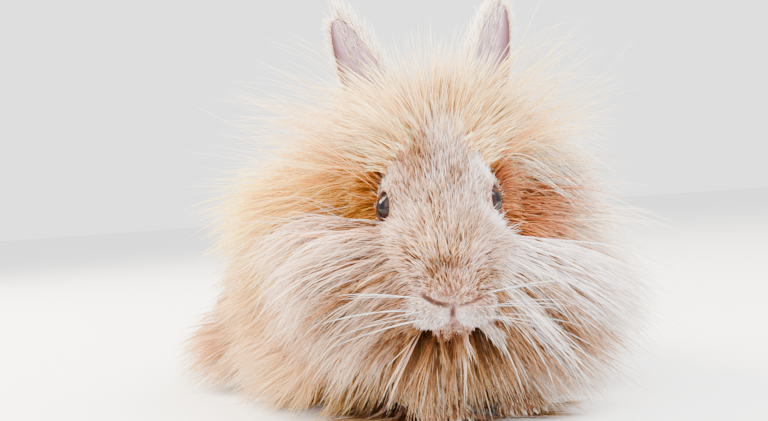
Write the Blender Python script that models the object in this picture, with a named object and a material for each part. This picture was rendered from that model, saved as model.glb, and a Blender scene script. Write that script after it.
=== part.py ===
"""Life-size lionhead rabbit, crouched on its four feet with its head turned a little to its right.

Metres, +Z up, with the middle of the base of the animal's box at the origin. The body's axis runs
along Y with the nose towards -Y, and +X is the rabbit's left. The head is modelled in a frame of its
own: the origin midway between the eyes, the nose towards -Y.

Each sub-part has a core of flesh with the inner part of its coat. The long coat stands on the core as
flat, tapered locks. Two shallow dishes part the head from the neck and the neck from the torso, and
each sub-part keeps its locks on its own side of them. The locks of the thighs and the tail stay
inside domes, and the torso's locks stay outside those.
"""

import math
import random

import bmesh
import bpy
from mathutils import Matrix, Vector
from mathutils.bvhtree import BVHTree

MM = 0.001
SWELL = 0.45 * MM
SIDES = {"left": 1, "right": -1}
UP = Vector((0, 0, 1))
SEED = 11

# Stance, in millimetres and radians
EYE_HEIGHT = 88
EYE_FORWARD = 93
EYE_ASIDE = -14
HEAD_TURN = math.radians(-16)
NECK_PLACE = (-3, -44, 76)
NECK_TURN = math.radians(-8)
HAIR_CLEARANCE = 1.4

# The dishes that part the head, neck and torso: where each meets its axis, and how far it leans
# back for each unit of radius. The head's dish nods, so that the throat's side of it stands forward
HEAD_DISH = (34, 0.3)
HEAD_DISH_NOD = math.radians(-10)
NECK_DISH = (0, 0.55)
DISH_GAP = 0.35

# Eyes and lids, in the head's frame
EYE_OUT = 16.6
EYE_BACK = 1.0
EYE_RADIUS = 8.4
SOCKET_GAP = 0.5
CORNEA_RADIUS = 6.0
CORNEA_OUT = 3.0
EYE_AXIS = Vector((0.93, -0.33, 0.14)).normalized()
LID_RADIUS = 6.9
LID_TUBE = 1.7
LID_OUT = 5.4

# Ears: the place of each tip in the head's frame, and their sizes
EAR_TIPS = {1: (37, 30, 91), -1: (-40, 29, 87)}
EAR_WIDTH = 26
EAR_THICK = 2.2

# Locks: the stations along one, each with its share of the length, of the full width and of the full
# thickness. The first station lies sunk in the core
LOCK_SINK = 5
LOCK_THICK = 2.6
LONG_LOCK = ((0.0, 0.5, 1.0), (0.3, 0.95, 1.0), (0.6, 0.85, 0.8), (0.84, 0.46, 0.5))
SHORT_LOCK = ((0.0, 0.65, 1.0), (0.4, 1.0, 0.9), (0.76, 0.62, 0.55))

# The tiers of the mane: Y of the tier in the head's frame, its locks, their length, their width,
# and how far they lean back as they rise
MANE_TIERS = (
    (8, 11, 48, 22, 0.10),
    (18, 12, 66, 26, 0.20),
    (28, 12, 78, 30, 0.26),
)

# The rows of each cheek: Y of the row in the head's frame, its locks and their length
CHEEK_ROWS = ((-2, 3, 64), (-12, 2, 58), (-21, 2, 46))
CHEEK_WIDTH = 17

# Locks, their length and their width
BEARD = (5, 36, 14)
FORELOCK = (3, 34, 12)
TAIL_COAT = (8, 26, 13)

# The tiers of the ruff: how far each starts behind the middle of the head's dish and how it leans
# back as it rises, then its locks, their length and their width
RUFF_TIERS = (
    (5, 0.34, 11, 60, 28),
    (9, 0.46, 11, 56, 30),
)

# The rows of the torso's locks: Y of the middle of the row, how far the row leans back, its locks,
# their length, and the angle that the row spans on each side of the spine
TORSO_ROWS = (
    (-30, 0, 8, 46, 112),
    (-6, 0, 8, 46, 112),
    (16, 0, 7, 46, 96),
    (38, 0, 6, 44, 72),
    (60, 0, 6, 42, 64),
    (80, 0.15, 6, 38, 60),
    (88, 0.5, 6, 34, 70),
    (88, 1.1, 6, 30, 86),
    (88, 2.4, 6, 26, 100),
)
TORSO_WIDTH = 32
TORSO_LIFT = 11
TORSO_MIDDLE = 58

# The rows of each thigh's locks: Y of the middle of the row, how far the row leans back, its locks
THIGH_ROWS = ((42, 0, 2), (66, 0.1, 2), (84, 1.1, 2))
THIGH_LENGTH = 38
THIGH_WIDTH = 28
THIGH_LIFT = 8

# Each skirt by its side: its locks, their length, and how far they flare
SKIRTS = {1: (5, 42, 0.5), -1: (6, 54, 1)}
SKIRT_WIDTH = 27

# How far a lock stays off the dishes and the domes' walls, the widths that it tries beside a dome,
# and the height at which hair ends
DISH_ROOM = 3.8
DOME_ROOM = 2.5
NARROWER = (1, 0.7, 0.45)
HAIR_ENDS = HAIR_CLEARANCE + 1.5

# The territories of the thighs' and the tail's locks: centre, radii and tilt of each dome
THIGH_DOME = ((62, 70, 43), (60, 55, 48), 6)
TAIL_DOME = ((0, 148, 54), (27, 30, 36), 0)
DOME_GAP = 0.4

# Colours of the sub-parts
FAWN = (0.80, 0.56, 0.38, 1)
CREAM = (0.90, 0.76, 0.58, 1)
PALE = (0.90, 0.82, 0.74, 1)
EAR_ROSE = (0.78, 0.62, 0.62, 1)
EYE_BROWN = (0.03, 0.015, 0.012, 1)


def mm(x, y, z):
    return Vector((x, y, z)) * MM


WORLD = Matrix.Identity(4)
HEAD = Matrix.Translation(mm(EYE_ASIDE, -EYE_FORWARD, EYE_HEIGHT)) @ Matrix.Rotation(HEAD_TURN, 4, "Z")
THROAT = HEAD @ Matrix.Rotation(HEAD_DISH_NOD, 4, "X")
NECK = Matrix.Translation(mm(*NECK_PLACE)) @ Matrix.Rotation(NECK_TURN, 4, "Z")


# Objects and Booleans


def clear_scene():
    for obj in list(bpy.data.objects):
        bpy.data.objects.remove(obj)


def object_from(name, shape):
    """A named object from a bmesh, which is freed."""
    bmesh.ops.recalc_face_normals(shape, faces=shape.faces)
    mesh = bpy.data.meshes.new(name)
    shape.to_mesh(mesh)
    shape.free()
    obj = bpy.data.objects.new(name, mesh)
    bpy.context.scene.collection.objects.link(obj)
    return obj


def apply_modifiers(obj):
    graph = bpy.context.evaluated_depsgraph_get()
    mesh = bpy.data.meshes.new_from_object(obj.evaluated_get(graph))
    obj.modifiers.clear()
    obj.data = mesh


def combine(obj, others, operation):
    """Joins or cuts obj with the other objects, which are then removed.

    The manifold solver stays quick and closed where hundreds of locks cross."""
    tools = bpy.data.collections.new("tools")
    bpy.context.scene.collection.children.link(tools)
    for other in others:
        tools.objects.link(other)
    step = obj.modifiers.new(operation, "BOOLEAN")
    step.operation = operation
    step.solver = "MANIFOLD"
    step.operand_type = "COLLECTION"
    step.collection = tools
    apply_modifiers(obj)
    for other in others:
        bpy.data.objects.remove(other)
    bpy.data.collections.remove(tools)
    return obj


def keep_largest(obj):
    """Leaves only the closed surface with the most corners."""
    shape = bmesh.new()
    shape.from_mesh(obj.data)
    left = set(shape.verts)
    surfaces = []
    while left:
        found = {left.pop()}
        edge = list(found)
        while edge:
            for link in edge.pop().link_edges:
                for other in link.verts:
                    if other in left:
                        left.remove(other)
                        found.add(other)
                        edge.append(other)
        surfaces.append(found)
    biggest = max(surfaces, key=len)
    scraps = [v for v in shape.verts if v not in biggest]
    bmesh.ops.delete(shape, geom=scraps, context="VERTS")
    shape.to_mesh(obj.data)
    shape.free()
    return obj


def copy_of(obj, swell=0):
    """A copy of obj, with its surface moved out by swell."""
    mesh = obj.data.copy()
    normals = [v.normal.copy() for v in mesh.vertices]
    for vert, normal in zip(mesh.vertices, normals):
        vert.co += normal * swell
    copy = bpy.data.objects.new(obj.name + "_copy", mesh)
    bpy.context.scene.collection.objects.link(copy)
    return copy


def surface_of(obj):
    shape = bmesh.new()
    shape.from_mesh(obj.data)
    tree = BVHTree.FromBMesh(shape)
    shape.free()
    return tree


def finish(obj, name, colour, roughness):
    """Names the sub-part and gives it a smooth surface and its material."""
    obj.name = name
    obj.data.name = name
    obj.data.shade_smooth()
    obj.data.set_sharp_from_angle(angle=math.radians(50))
    material = bpy.data.materials.new(name)
    material.use_nodes = True
    shader = material.node_tree.nodes["Principled BSDF"]
    shader.inputs["Base Color"].default_value = colour
    shader.inputs["Roughness"].default_value = roughness
    shader.inputs["Metallic"].default_value = 0
    obj.data.materials.clear()
    obj.data.materials.append(material)
    return obj


# Rounded flesh


def add_ellipsoid(shape, frame, centre, radii, tilt=0, fineness=3):
    """Adds an ellipsoid. The tilt, in degrees, turns it about X."""
    place = (
        frame
        @ Matrix.Translation(mm(*centre))
        @ Matrix.Rotation(math.radians(tilt), 4, "X")
        @ Matrix.Diagonal((*mm(*radii), 1))
    )
    bmesh.ops.create_icosphere(shape, subdivisions=fineness, radius=1, matrix=place)


def add_limb(shape, frame, start, start_radius, end, end_radius):
    """Adds a tapering limb as a row of spheres close enough to blend."""
    start, end = Vector(start), Vector(end)
    beads = 2 + int((end - start).length / (0.3 * min(start_radius, end_radius)))
    for i in range(beads):
        share = i / (beads - 1)
        radius = start_radius + (end_radius - start_radius) * share
        add_ellipsoid(shape, frame, start.lerp(end, share), (radius,) * 3)


def flesh(name, shape, voxel, smoothing, triangles):
    """One smooth closed surface round the shapes, with about that many triangles."""
    obj = object_from(name, shape)
    remesh = obj.modifiers.new("Skin", "REMESH")
    remesh.mode = "VOXEL"
    remesh.voxel_size = voxel * MM
    smooth = obj.modifiers.new("Smooth", "SMOOTH")
    smooth.factor = 0.5
    smooth.iterations = smoothing
    apply_modifiers(obj)
    full = sum(len(face.vertices) - 2 for face in obj.data.polygons)
    thin = obj.modifiers.new("Thin", "DECIMATE")
    thin.ratio = min(1, triangles / full)
    apply_modifiers(obj)
    return obj


# Cutters


def dish(frame, start, lean, side):
    """All that lies behind (side 1) or in front of (side -1) a shallow dish round the frame's Y axis.

    The dish meets the axis at Y = start and leans back by lean for each unit of radius."""
    far = 400
    rim = 260
    shape = bmesh.new()
    profile = (
        mm(0, start, 0),
        mm(rim, start + lean * rim, 0),
        mm(rim, side * far, 0),
        mm(0, side * far, 0),
    )
    verts = [shape.verts.new(p) for p in profile]
    edges = [shape.edges.new(pair) for pair in zip(verts, verts[1:])]
    bmesh.ops.spin(
        shape,
        geom=verts + edges,
        cent=(0, 0, 0),
        axis=(0, 1, 0),
        angle=math.tau,
        steps=32,
        use_merge=True,
    )
    bmesh.ops.remove_doubles(shape, verts=shape.verts, dist=1e-6)
    shape.transform(frame)
    return object_from("dish", shape)


def slab_below(height):
    """Everything under that height, in millimetres."""
    shape = bmesh.new()
    size = 800
    place = Matrix.Translation(mm(0, 0, height - size / 2)) @ Matrix.Scale(size * MM, 4)
    bmesh.ops.create_cube(shape, size=1, matrix=place)
    return object_from("slab", shape)


def dome(centre, radii, tilt, grown):
    shape = bmesh.new()
    add_ellipsoid(shape, WORLD, centre, [r + grown for r in radii], tilt)
    return object_from("dome", shape)


def tube(name, points, radii, sides):
    """A closed tube through the points, in metres, with a radius in millimetres at each."""
    shape = bmesh.new()
    rings = []
    for i, point in enumerate(points):
        ahead = points[min(i + 1, len(points) - 1)] - points[max(i - 1, 0)]
        turn = ahead.to_track_quat("Z", "Y")
        ring = []
        for k in range(sides):
            angle = math.tau * k / sides
            spoke = Vector((math.cos(angle), math.sin(angle), 0)) * radii[i] * MM
            ring.append(shape.verts.new(point + turn @ spoke))
        rings.append(ring)
    for low, high in zip(rings, rings[1:]):
        for k in range(sides):
            n = (k + 1) % sides
            shape.faces.new((low[k], low[n], high[n], high[k]))
    shape.faces.new(rings[0])
    shape.faces.new(rings[-1])
    return object_from(name, shape)


# Locks of hair


def lock(form, stations, width):
    """A flat, tapered lock. Each station is its point, heading and side, and the last is the tip."""
    shape = bmesh.new()
    rings = []
    for (_, wide, thick), (point, along, side) in zip(form, stations):
        side = (side - along * side.dot(along)).normalized()
        out = side.cross(along)
        half = width / 2 * wide * MM
        deep = LOCK_THICK * thick * MM
        corners = (point - side * half, point + out * deep, point + side * half)
        rings.append([shape.verts.new(p) for p in corners])
    tip = shape.verts.new(stations[-1][0])
    for low, high in zip(rings, rings[1:]):
        for k in range(3):
            n = (k + 1) % 3
            shape.faces.new((low[k], low[n], high[n]))
            shape.faces.new((low[k], high[n], high[k]))
    for k in range(3):
        shape.faces.new((rings[-1][k], rings[-1][(k + 1) % 3], tip))
    shape.faces.new(rings[0])
    return object_from("lock", shape)


def free_lock(root, start, end, side, length, width, clear):
    """A lock that leaves its root towards start and ends heading for end.

    Each of its points is passed through clear, which moves it out of what the lock must avoid."""
    start, end = start.normalized(), end.normalized()
    stations = [(root - start * LOCK_SINK * MM, start, side)]
    for share in [station[0] for station in LONG_LOCK[1:]] + [1]:
        heading = start * (1 - share) + end * share
        reach = start * (share - share * share / 2) + end * share * share / 2
        point = clear(root + reach * length * MM)
        stations.append((point, heading.normalized(), side))
    return lock(LONG_LOCK, stations, width)


def combed_lock(tree, root, heading, length, width, lift, clear):
    """A lock combed along the surface. It rises from its root to the lift above it at its tip."""
    point, normal = root
    heading = (heading - normal * heading.dot(normal)).normalized()
    sink = (heading * 0.8 - normal).normalized()
    stations = [(point + sink * LOCK_SINK * MM, heading, normal.cross(heading))]
    before = 0
    for share in [station[0] for station in SHORT_LOCK[1:]] + [1]:
        step = (share - before) * length * MM
        before = share
        point, normal = tree.find_nearest(point + heading * step)[:2]
        heading = (heading - normal * heading.dot(normal)).normalized()
        height = lift * (0.25 + 0.75 * share) * MM
        rising = (heading + normal * lift / length).normalized()
        stations.append((clear(point + normal * height), rising, normal.cross(heading)))
    return lock(SHORT_LOCK, stations, width)


def root_at(tree, frame, centre, direction):
    """Where a ray from the centre, in the frame's millimetres, leaves the flesh, with the normal."""
    start = frame @ mm(*centre)
    ray = (frame.to_3x3() @ Vector(direction)).normalized()
    far = start + ray * 0.3
    point, normal, _, _ = tree.ray_cast(far, -ray)
    if point is None:
        return None
    return point, normal


def behind_dish(frame, shape):
    """A function that moves points back until they lie well behind the dish."""
    start, lean = shape
    inverse = frame.inverted()

    def clear(point):
        local = inverse @ point
        rim = (start + DISH_ROOM) * MM + lean * math.hypot(local.x, local.z)
        local.y = max(local.y, rim)
        return frame @ local

    return clear


def before_dish(frame, shape):
    """A function that moves points forward until they lie well in front of the dish."""
    start, lean = shape
    inverse = frame.inverted()

    def clear(point):
        local = inverse @ point
        rim = (start - DISH_ROOM) * MM + lean * math.hypot(local.x, local.z)
        local.y = min(local.y, rim)
        return frame @ local

    return clear


def above_floor(point):
    """Hair that would reach the floor stops a little above it."""
    return Vector((point.x, point.y, max(point.z, HAIR_ENDS * MM)))


def inside_dome(centre, radii, tilt):
    """A function that draws points inside the dome."""
    frame = Matrix.Translation(mm(*centre)) @ Matrix.Rotation(math.radians(tilt), 4, "X")
    inverse = frame.inverted()
    inner = [(r - DOME_ROOM) * MM for r in radii]

    def clear(point):
        local = inverse @ point
        reach = Vector((local.x / inner[0], local.y / inner[1], local.z / inner[2])).length
        if reach > 1:
            local /= reach
        return frame @ local

    return clear


def outside_dome(centre, radii, tilt):
    """A function that pushes points out of the dome."""
    frame = Matrix.Translation(mm(*centre)) @ Matrix.Rotation(math.radians(tilt), 4, "X")
    inverse = frame.inverted()
    outer = [(r + DOME_ROOM) * MM for r in radii]

    def clear(point):
        local = inverse @ point
        reach = Vector((local.x / outer[0], local.y / outer[1], local.z / outer[2])).length
        if reach < 1:
            local /= reach
        return frame @ local

    return clear


def in_turn(*steps):
    """One function that passes a point through each of the steps."""

    def clear(point):
        for step in steps:
            point = step(point)
        return point

    return clear


def coat_of(locks, cutters):
    """The locks joined, with the cutters taken off them."""
    coat = combine(locks[0], locks[1:], "UNION")
    return combine(coat, [copy_of(cutter) for cutter in cutters], "DIFFERENCE")


# The head


def head_flesh():
    """Skull, cheeks, muzzle, lips and chin with the short coat of the face."""
    shape = bmesh.new()
    add_ellipsoid(shape, HEAD, (0, 15, 5), (22.5, 27, 24.5))
    add_limb(shape, HEAD, (0, 4, 8), 17, (0, -26, -21), 9.5)
    add_ellipsoid(shape, HEAD, (0, -27, -33), (11, 10, 11))
    add_ellipsoid(shape, HEAD, (0, -34, -31), (5.6, 4.4, 4.4))
    add_ellipsoid(shape, HEAD, (0, -23, -44.5), (7.5, 8.5, 5))
    add_ellipsoid(shape, HEAD, (0, -27.5, -46.5), (6.5, 3.6, 2.4))
    add_ellipsoid(shape, HEAD, (0, 34, -8), (25, 22, 29))
    for side in SIDES.values():
        add_ellipsoid(shape, HEAD, (side * 7, -29.5, -36), (8.6, 8.6, 9))
        add_limb(shape, HEAD, (side * 4.5, -17, -36), 8, (side * 12.5, 10, -25), 13)
        add_limb(shape, HEAD, (side * 6, 0, -4), 14, (side * 6.5, -23, -27), 9.5)
        add_ellipsoid(shape, HEAD, (side * 12.5, 4, -17), (12.8, 18, 17))
        add_ellipsoid(shape, HEAD, (side * 14.5, 1, 3), (8, 13, 13))
        add_ellipsoid(shape, HEAD, (side * 12, 17, 20), (8, 9, 9))
    return flesh("head_flesh", shape, voxel=1.4, smoothing=7, triangles=1300)


def eye_frame(side):
    """From the eye's frame, with its look along +Z, to the body's."""
    look = Vector((side * EYE_AXIS.x, EYE_AXIS.y, EYE_AXIS.z))
    place = HEAD @ Matrix.Translation(mm(side * EYE_OUT, EYE_BACK, 0))
    return place @ look.to_track_quat("Z", "Y").to_matrix().to_4x4()


def eyeball(side, grown=0):
    """A ball with a bulging cornea. A grown one is the cutter for its socket."""
    shape = bmesh.new()
    for radius, out in ((EYE_RADIUS, 0), (CORNEA_RADIUS, CORNEA_OUT)):
        place = eye_frame(side) @ Matrix.Translation(mm(0, 0, out))
        size = (radius + grown) * MM
        bmesh.ops.create_icosphere(shape, subdivisions=3, radius=size, matrix=place)
    return flesh("eyeball", shape, voxel=0.8, smoothing=3, triangles=150)


def lid_ring(side, around=12, sides=4):
    """The rim of both lids, a little wider than high."""
    frame = eye_frame(side)
    centre = frame @ mm(0, 0, LID_OUT)
    look = frame.to_3x3() @ UP
    shape = bmesh.new()
    rings = []
    for i in range(around):
        angle = math.tau * i / around
        point = frame @ mm(LID_RADIUS * math.cos(angle), 0.94 * LID_RADIUS * math.sin(angle), LID_OUT)
        spoke = (point - centre).normalized()
        ring = []
        for k in range(sides):
            turn = math.tau * k / sides
            offset = spoke * math.cos(turn) + look * math.sin(turn)
            ring.append(shape.verts.new(point + offset * LID_TUBE * MM))
        rings.append(ring)
    for i, ring in enumerate(rings):
        after = rings[(i + 1) % around]
        for k in range(sides):
            n = (k + 1) % sides
            shape.faces.new((ring[k], ring[n], after[n], after[k]))
    return object_from("lids", shape)


def on_surface(tree, path):
    """The path's points, given in the head's frame, moved onto the flesh."""
    return [tree.find_nearest(HEAD @ mm(*point))[0] for point in path]


def face_lines(tree):
    """Cutters for the nostrils, the cleft below the nose and the line of the mouth."""
    cleft = on_surface(tree, ((0, -40, -36), (0, -39, -39.5), (0, -37, -42.5), (0, -34, -45.5)))
    cutters = [tube("cleft", cleft, (0.7, 0.9, 0.9, 0.7), sides=4)]
    for side in SIDES.values():
        nostril = on_surface(
            tree,
            (
                (side * 0.8, -40, -36.3),
                (side * 3.4, -39, -35),
                (side * 6.2, -37, -33),
                (side * 8.6, -34, -31),
            ),
        )
        cutters.append(tube("nostril", nostril, (0.6, 1.1, 1.3, 0.5), sides=4))
        mouth = on_surface(
            tree,
            (
                (0, -36, -45.1),
                (side * 4, -34, -45.7),
                (side * 8, -30, -45.3),
                (side * 12.5, -22, -42.5),
            ),
        )
        cutters.append(tube("mouth", mouth, (0.8, 0.9, 0.8, 0.5), sides=4))
    return cutters


def mane_locks(tree, dice):
    """Tiers of locks that stand out round the face and fall, longer towards the neck."""
    turn = HEAD.to_3x3()
    clear = in_turn(before_dish(THROAT, HEAD_DISH), above_floor)
    locks = []
    for tier, (back, count, length, width, lean) in enumerate(MANE_TIERS):
        for i in range(count):
            angle = math.tau * (i + 0.5 * (tier % 2) + dice.uniform(-0.15, 0.15)) / count
            spread = Vector((math.sin(angle), 0, math.cos(angle)))
            found = root_at(tree, HEAD, (0, back, -6), spread)
            if found is None:
                continue
            root = found[0]
            high = max(0, spread.z)
            low = max(0, -spread.z)
            around = Vector((spread.z, 0, -spread.x))
            start = spread + Vector((0, lean - 0.25, 0.5))
            fall = -0.7 + 0.7 * high + 0.35 * low
            end = spread * 0.9 + Vector((0.9 * spread.x * high, lean * 1.6, fall))
            end += around * dice.uniform(-0.3, 0.3)
            side = turn @ around
            size = length * dice.uniform(0.86, 1.12) * (1 - 0.33 * high + 0.12 * low)
            wide = width * dice.uniform(0.9, 1.1)
            locks.append(free_lock(root, turn @ start, turn @ end, side, size, wide, clear))
    return locks


def cheek_locks(tree, dice):
    """Long hair that flows from the muzzle's sides and the cheeks outward and down."""
    turn = HEAD.to_3x3()
    clear = in_turn(before_dish(THROAT, HEAD_DISH), above_floor)
    locks = []
    for side in SIDES.values():
        for forward, count, length in CHEEK_ROWS:
            for i in range(count):
                fall = -0.25 - 0.5 * i + dice.uniform(-0.06, 0.06)
                spread = Vector((side, 0, fall)).normalized()
                found = root_at(tree, HEAD, (0, forward, -22), spread)
                if found is None:
                    continue
                root = found[0]
                start = spread + Vector((0, -0.15, 0.35))
                end = spread * 0.55 + Vector((side * 0.1, 0.25, -0.8))
                across = turn @ Vector((0, -side * 0.65, -0.75))
                size = length * dice.uniform(0.9, 1.1)
                wide = CHEEK_WIDTH * dice.uniform(0.9, 1.1)
                locks.append(free_lock(root, turn @ start, turn @ end, across, size, wide, clear))
    return locks


def beard_locks(tree, dice):
    """Locks that hang from the chin and the throat."""
    turn = HEAD.to_3x3()
    clear = in_turn(before_dish(THROAT, HEAD_DISH), above_floor)
    count, length, width = BEARD
    locks = []
    for i in range(count):
        aside = (i / (count - 1) - 0.5) * 2
        back = -14 + 10 * (i % 2)
        found = root_at(tree, HEAD, (aside * 10, back, -30), (aside * 0.3, 0, -1))
        if found is None:
            continue
        start = Vector((aside * 0.5, -0.35, -1))
        end = Vector((aside * 0.25, 0.12, -1))
        side = turn @ Vector((-1, 0, 0))
        size = length * dice.uniform(0.9, 1.1)
        locks.append(free_lock(found[0], turn @ start, turn @ end, side, size, width, clear))
    return locks


def forelock(tree, dice):
    """Locks between the ears that rise from the crown and fall over the brow."""
    turn = HEAD.to_3x3()
    clear = before_dish(THROAT, HEAD_DISH)
    count, length, width = FORELOCK
    locks = []
    for i in range(count):
        aside = (i / (count - 1) - 0.5) * 2
        found = root_at(tree, HEAD, (aside * 9, 4 + 5 * (i % 2), 5), (0, -0.2, 1))
        if found is None:
            continue
        start = Vector((aside * 0.5, -0.7, 0.9))
        end = Vector((aside * 1.2, -0.3, -0.5))
        side = turn @ Vector((1, 0, 0))
        size = length * dice.uniform(0.9, 1.1)
        locks.append(free_lock(found[0], turn @ start, turn @ end, side, size, width, clear))
    return locks


# The ears


def ear_frame(side):
    """From the ear's frame, with its length along +Z and its hollow towards -Y, to the body's."""
    root = mm(side * 14, 20, 22)
    along = (mm(*EAR_TIPS[side]) - root).normalized()
    hollow = Vector((side * 0.62, -0.78, 0.1))
    across = along.cross(hollow).normalized()
    hollow = across.cross(along).normalized()
    axes = Matrix((across, -hollow, along)).transposed()
    return HEAD @ Matrix.Translation(root) @ axes.to_4x4()


def ear_blade(side, rings=8, across=4):
    """A leaf rolled into a cup: nearly closed at its root, open at half height, rounded at its tip."""
    frame = ear_frame(side)
    length = (frame.inverted() @ HEAD @ mm(*EAR_TIPS[side])).z / MM
    shape = bmesh.new()
    loops = []
    for i in range(rings):
        share = i / (rings - 1)
        height = -6 + (length + 6) * share
        swell = math.sin(math.pi * min(1, 0.24 + 0.76 * share)) ** 0.5
        half = max(0.9, EAR_WIDTH / 2 * swell)
        depth = half * (1.15 - 0.75 * share)
        thick = EAR_THICK * (1.25 - 0.45 * share)
        front, back = [], []
        for k in range(-across, across + 1):
            a = k / across
            x = half * math.sin(a * math.pi / 2 * (0.9 + 0.1 * share))
            y = depth * (1 - a * a)
            slope = Vector((half * 0.9, -2 * depth * a)).normalized()
            normal = Vector((-slope.y, slope.x))
            wall = thick / 2 * (1 - 0.5 * abs(a) ** 3)
            front.append(shape.verts.new(frame @ mm(x - normal.x * wall, y - normal.y * wall, height)))
            back.append(shape.verts.new(frame @ mm(x + normal.x * wall, y + normal.y * wall, height)))
        loops.append(front + back[::-1])
    for low, high in zip(loops, loops[1:]):
        count = len(low)
        for k in range(count):
            n = (k + 1) % count
            shape.faces.new((low[k], low[n], high[n], high[k]))
    shape.faces.new(loops[0][::-1])
    shape.faces.new(loops[-1])
    bmesh.ops.triangulate(shape, faces=[f for f in shape.faces if len(f.verts) > 4])
    return object_from("ear", shape)


def ear_envelope(ear):
    """A closed leaf round the ear and its cup, which the locks of the head stay out of."""
    shape = bmesh.new()
    shape.from_mesh(ear.data)
    hull = bmesh.ops.convex_hull(shape, input=shape.verts)
    loose = {g for g in hull["geom_interior"] + hull["geom_unused"] if isinstance(g, bmesh.types.BMVert)}
    bmesh.ops.delete(shape, geom=list(loose), context="VERTS")
    kept = {f for f in hull["geom"] if isinstance(f, bmesh.types.BMFace) and f.is_valid}
    bmesh.ops.delete(shape, geom=[f for f in shape.faces if f not in kept], context="FACES_ONLY")
    hollow = object_from("ear_envelope", shape)
    whole = copy_of(hollow, 1.2 * MM)
    bpy.data.objects.remove(hollow)
    return whole


# The body and the limbs


def body_flesh():
    """Neck, chest, ribs, loin and rump with the inner part of their coat."""
    shape = bmesh.new()
    add_ellipsoid(shape, WORLD, (-8, -64, 76), (34, 27, 36), fineness=4)
    add_ellipsoid(shape, WORLD, (-4, -46, 60), (56, 33, 50), fineness=4)
    add_ellipsoid(shape, WORLD, (-1, -22, 54), (62, 42, 49), fineness=4)
    add_ellipsoid(shape, WORLD, (0, 4, 60), (62, 62, 56), fineness=4)
    add_ellipsoid(shape, WORLD, (0, 48, 64), (62, 60, 58), fineness=4)
    add_ellipsoid(shape, WORLD, (0, 86, 56), (56, 48, 50), fineness=4)
    return flesh("body_flesh", shape, voxel=3, smoothing=16, triangles=640)


def ruff_locks(tree, dice):
    """Locks that stand out round the neck behind the mane, and hang to the floor below it."""
    turn = THROAT.to_3x3()
    clear = in_turn(behind_dish(THROAT, HEAD_DISH), before_dish(NECK, NECK_DISH), above_floor)
    locks = []
    for tier, (back, lean, count, length, width) in enumerate(RUFF_TIERS):
        for i in range(count):
            angle = math.tau * (i + 0.5 * (tier % 2) + dice.uniform(-0.15, 0.15)) / count
            spread = Vector((math.sin(angle), 0, math.cos(angle)))
            outward = spread + Vector((0, lean, 0))
            found = root_at(tree, THROAT, (0, HEAD_DISH[0] + back, -8), outward)
            if found is None:
                continue
            high = max(0, spread.z)
            low = max(0, -spread.z)
            around = Vector((spread.z, 0, -spread.x))
            start = outward + Vector((0, 0, 0.3))
            end = spread * 0.9 + Vector((0, lean * 1.3, -0.7 + 0.5 * high + 0.3 * low))
            end += around * dice.uniform(-0.25, 0.25)
            size = length * dice.uniform(0.88, 1.1) * (0.65 + 0.4 * abs(spread.x))
            wide = width * dice.uniform(0.9, 1.1)
            locks.append(free_lock(found[0], turn @ start, turn @ end, turn @ around, size, wide, clear))
    return locks


def fitting_lock(domes, width, make):
    """The widest lock that make gives from the width and stays out of the domes, or None."""
    for share in NARROWER:
        one = make(width * share)
        tree = surface_of(one)
        if not any(tree.overlap(dome_tree) for dome_tree in domes):
            return one
        bpy.data.objects.remove(one)
    return None


def torso_locks(tree, territories, dice):
    """Rows of overlapping locks combed back and down, from the shoulders to the rump."""
    outside = [outside_dome(*territory) for territory in territories]
    clear = in_turn(*outside, behind_dish(NECK, NECK_DISH), above_floor)
    walls = [dome(*territory, grown=DOME_GAP) for territory in territories]
    domes = [surface_of(wall) for wall in walls]
    locks = []
    for row, (back, lean, count, length, span) in enumerate(TORSO_ROWS):
        for i in range(count):
            share = (i + 0.5 + 0.25 * (-1) ** row + dice.uniform(-0.12, 0.12)) / count
            angle = math.radians((share * 2 - 1) * span)
            spread = Vector((math.sin(angle), 0, math.cos(angle)))
            found = root_at(tree, WORLD, (0, back, TORSO_MIDDLE), spread + Vector((0, lean, 0)))
            size = length * dice.uniform(0.88, 1.1)
            wide = TORSO_WIDTH * dice.uniform(0.85, 1.05)
            if found is None or (in_turn(*outside)(found[0]) - found[0]).length > 0.1 * MM:
                continue
            fall = 0.35 + 0.75 * abs(math.sin(angle))
            heading = Vector((spread.x * (0.25 + 0.4 * lean), 1, -fall))
            one = fitting_lock(
                domes,
                wide,
                lambda width: combed_lock(tree, found, heading, size, width, TORSO_LIFT, clear),
            )
            if one is not None:
                locks.append(one)
    for wall in walls:
        bpy.data.objects.remove(wall)
    return locks


def foreleg_flesh(side):
    """Shoulder to paw, folded under the chest with the paw forward."""
    shape = bmesh.new()
    add_limb(shape, WORLD, (side * 36, -26, 46), 16, (side * 38, -8, 26), 13)
    add_limb(shape, WORLD, (side * 38, -8, 24), 12, (side * 22, -62, 12), 9.5)
    add_limb(shape, WORLD, (side * 22, -62, 10.5), 9.5, (side * 17, -84, 7), 8.5)
    for toe in (-1.5, -0.5, 0.5, 1.5):
        reach = 95 - 2.2 * abs(toe)
        start = (side * 17 + toe * 3.6, -82, 5.5)
        add_limb(shape, WORLD, start, 4.4, (side * 16.5 + toe * 4.4, -reach, 3.4), 3.9)
    return flesh("foreleg", shape, voxel=1.6, smoothing=3, triangles=260)


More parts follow.
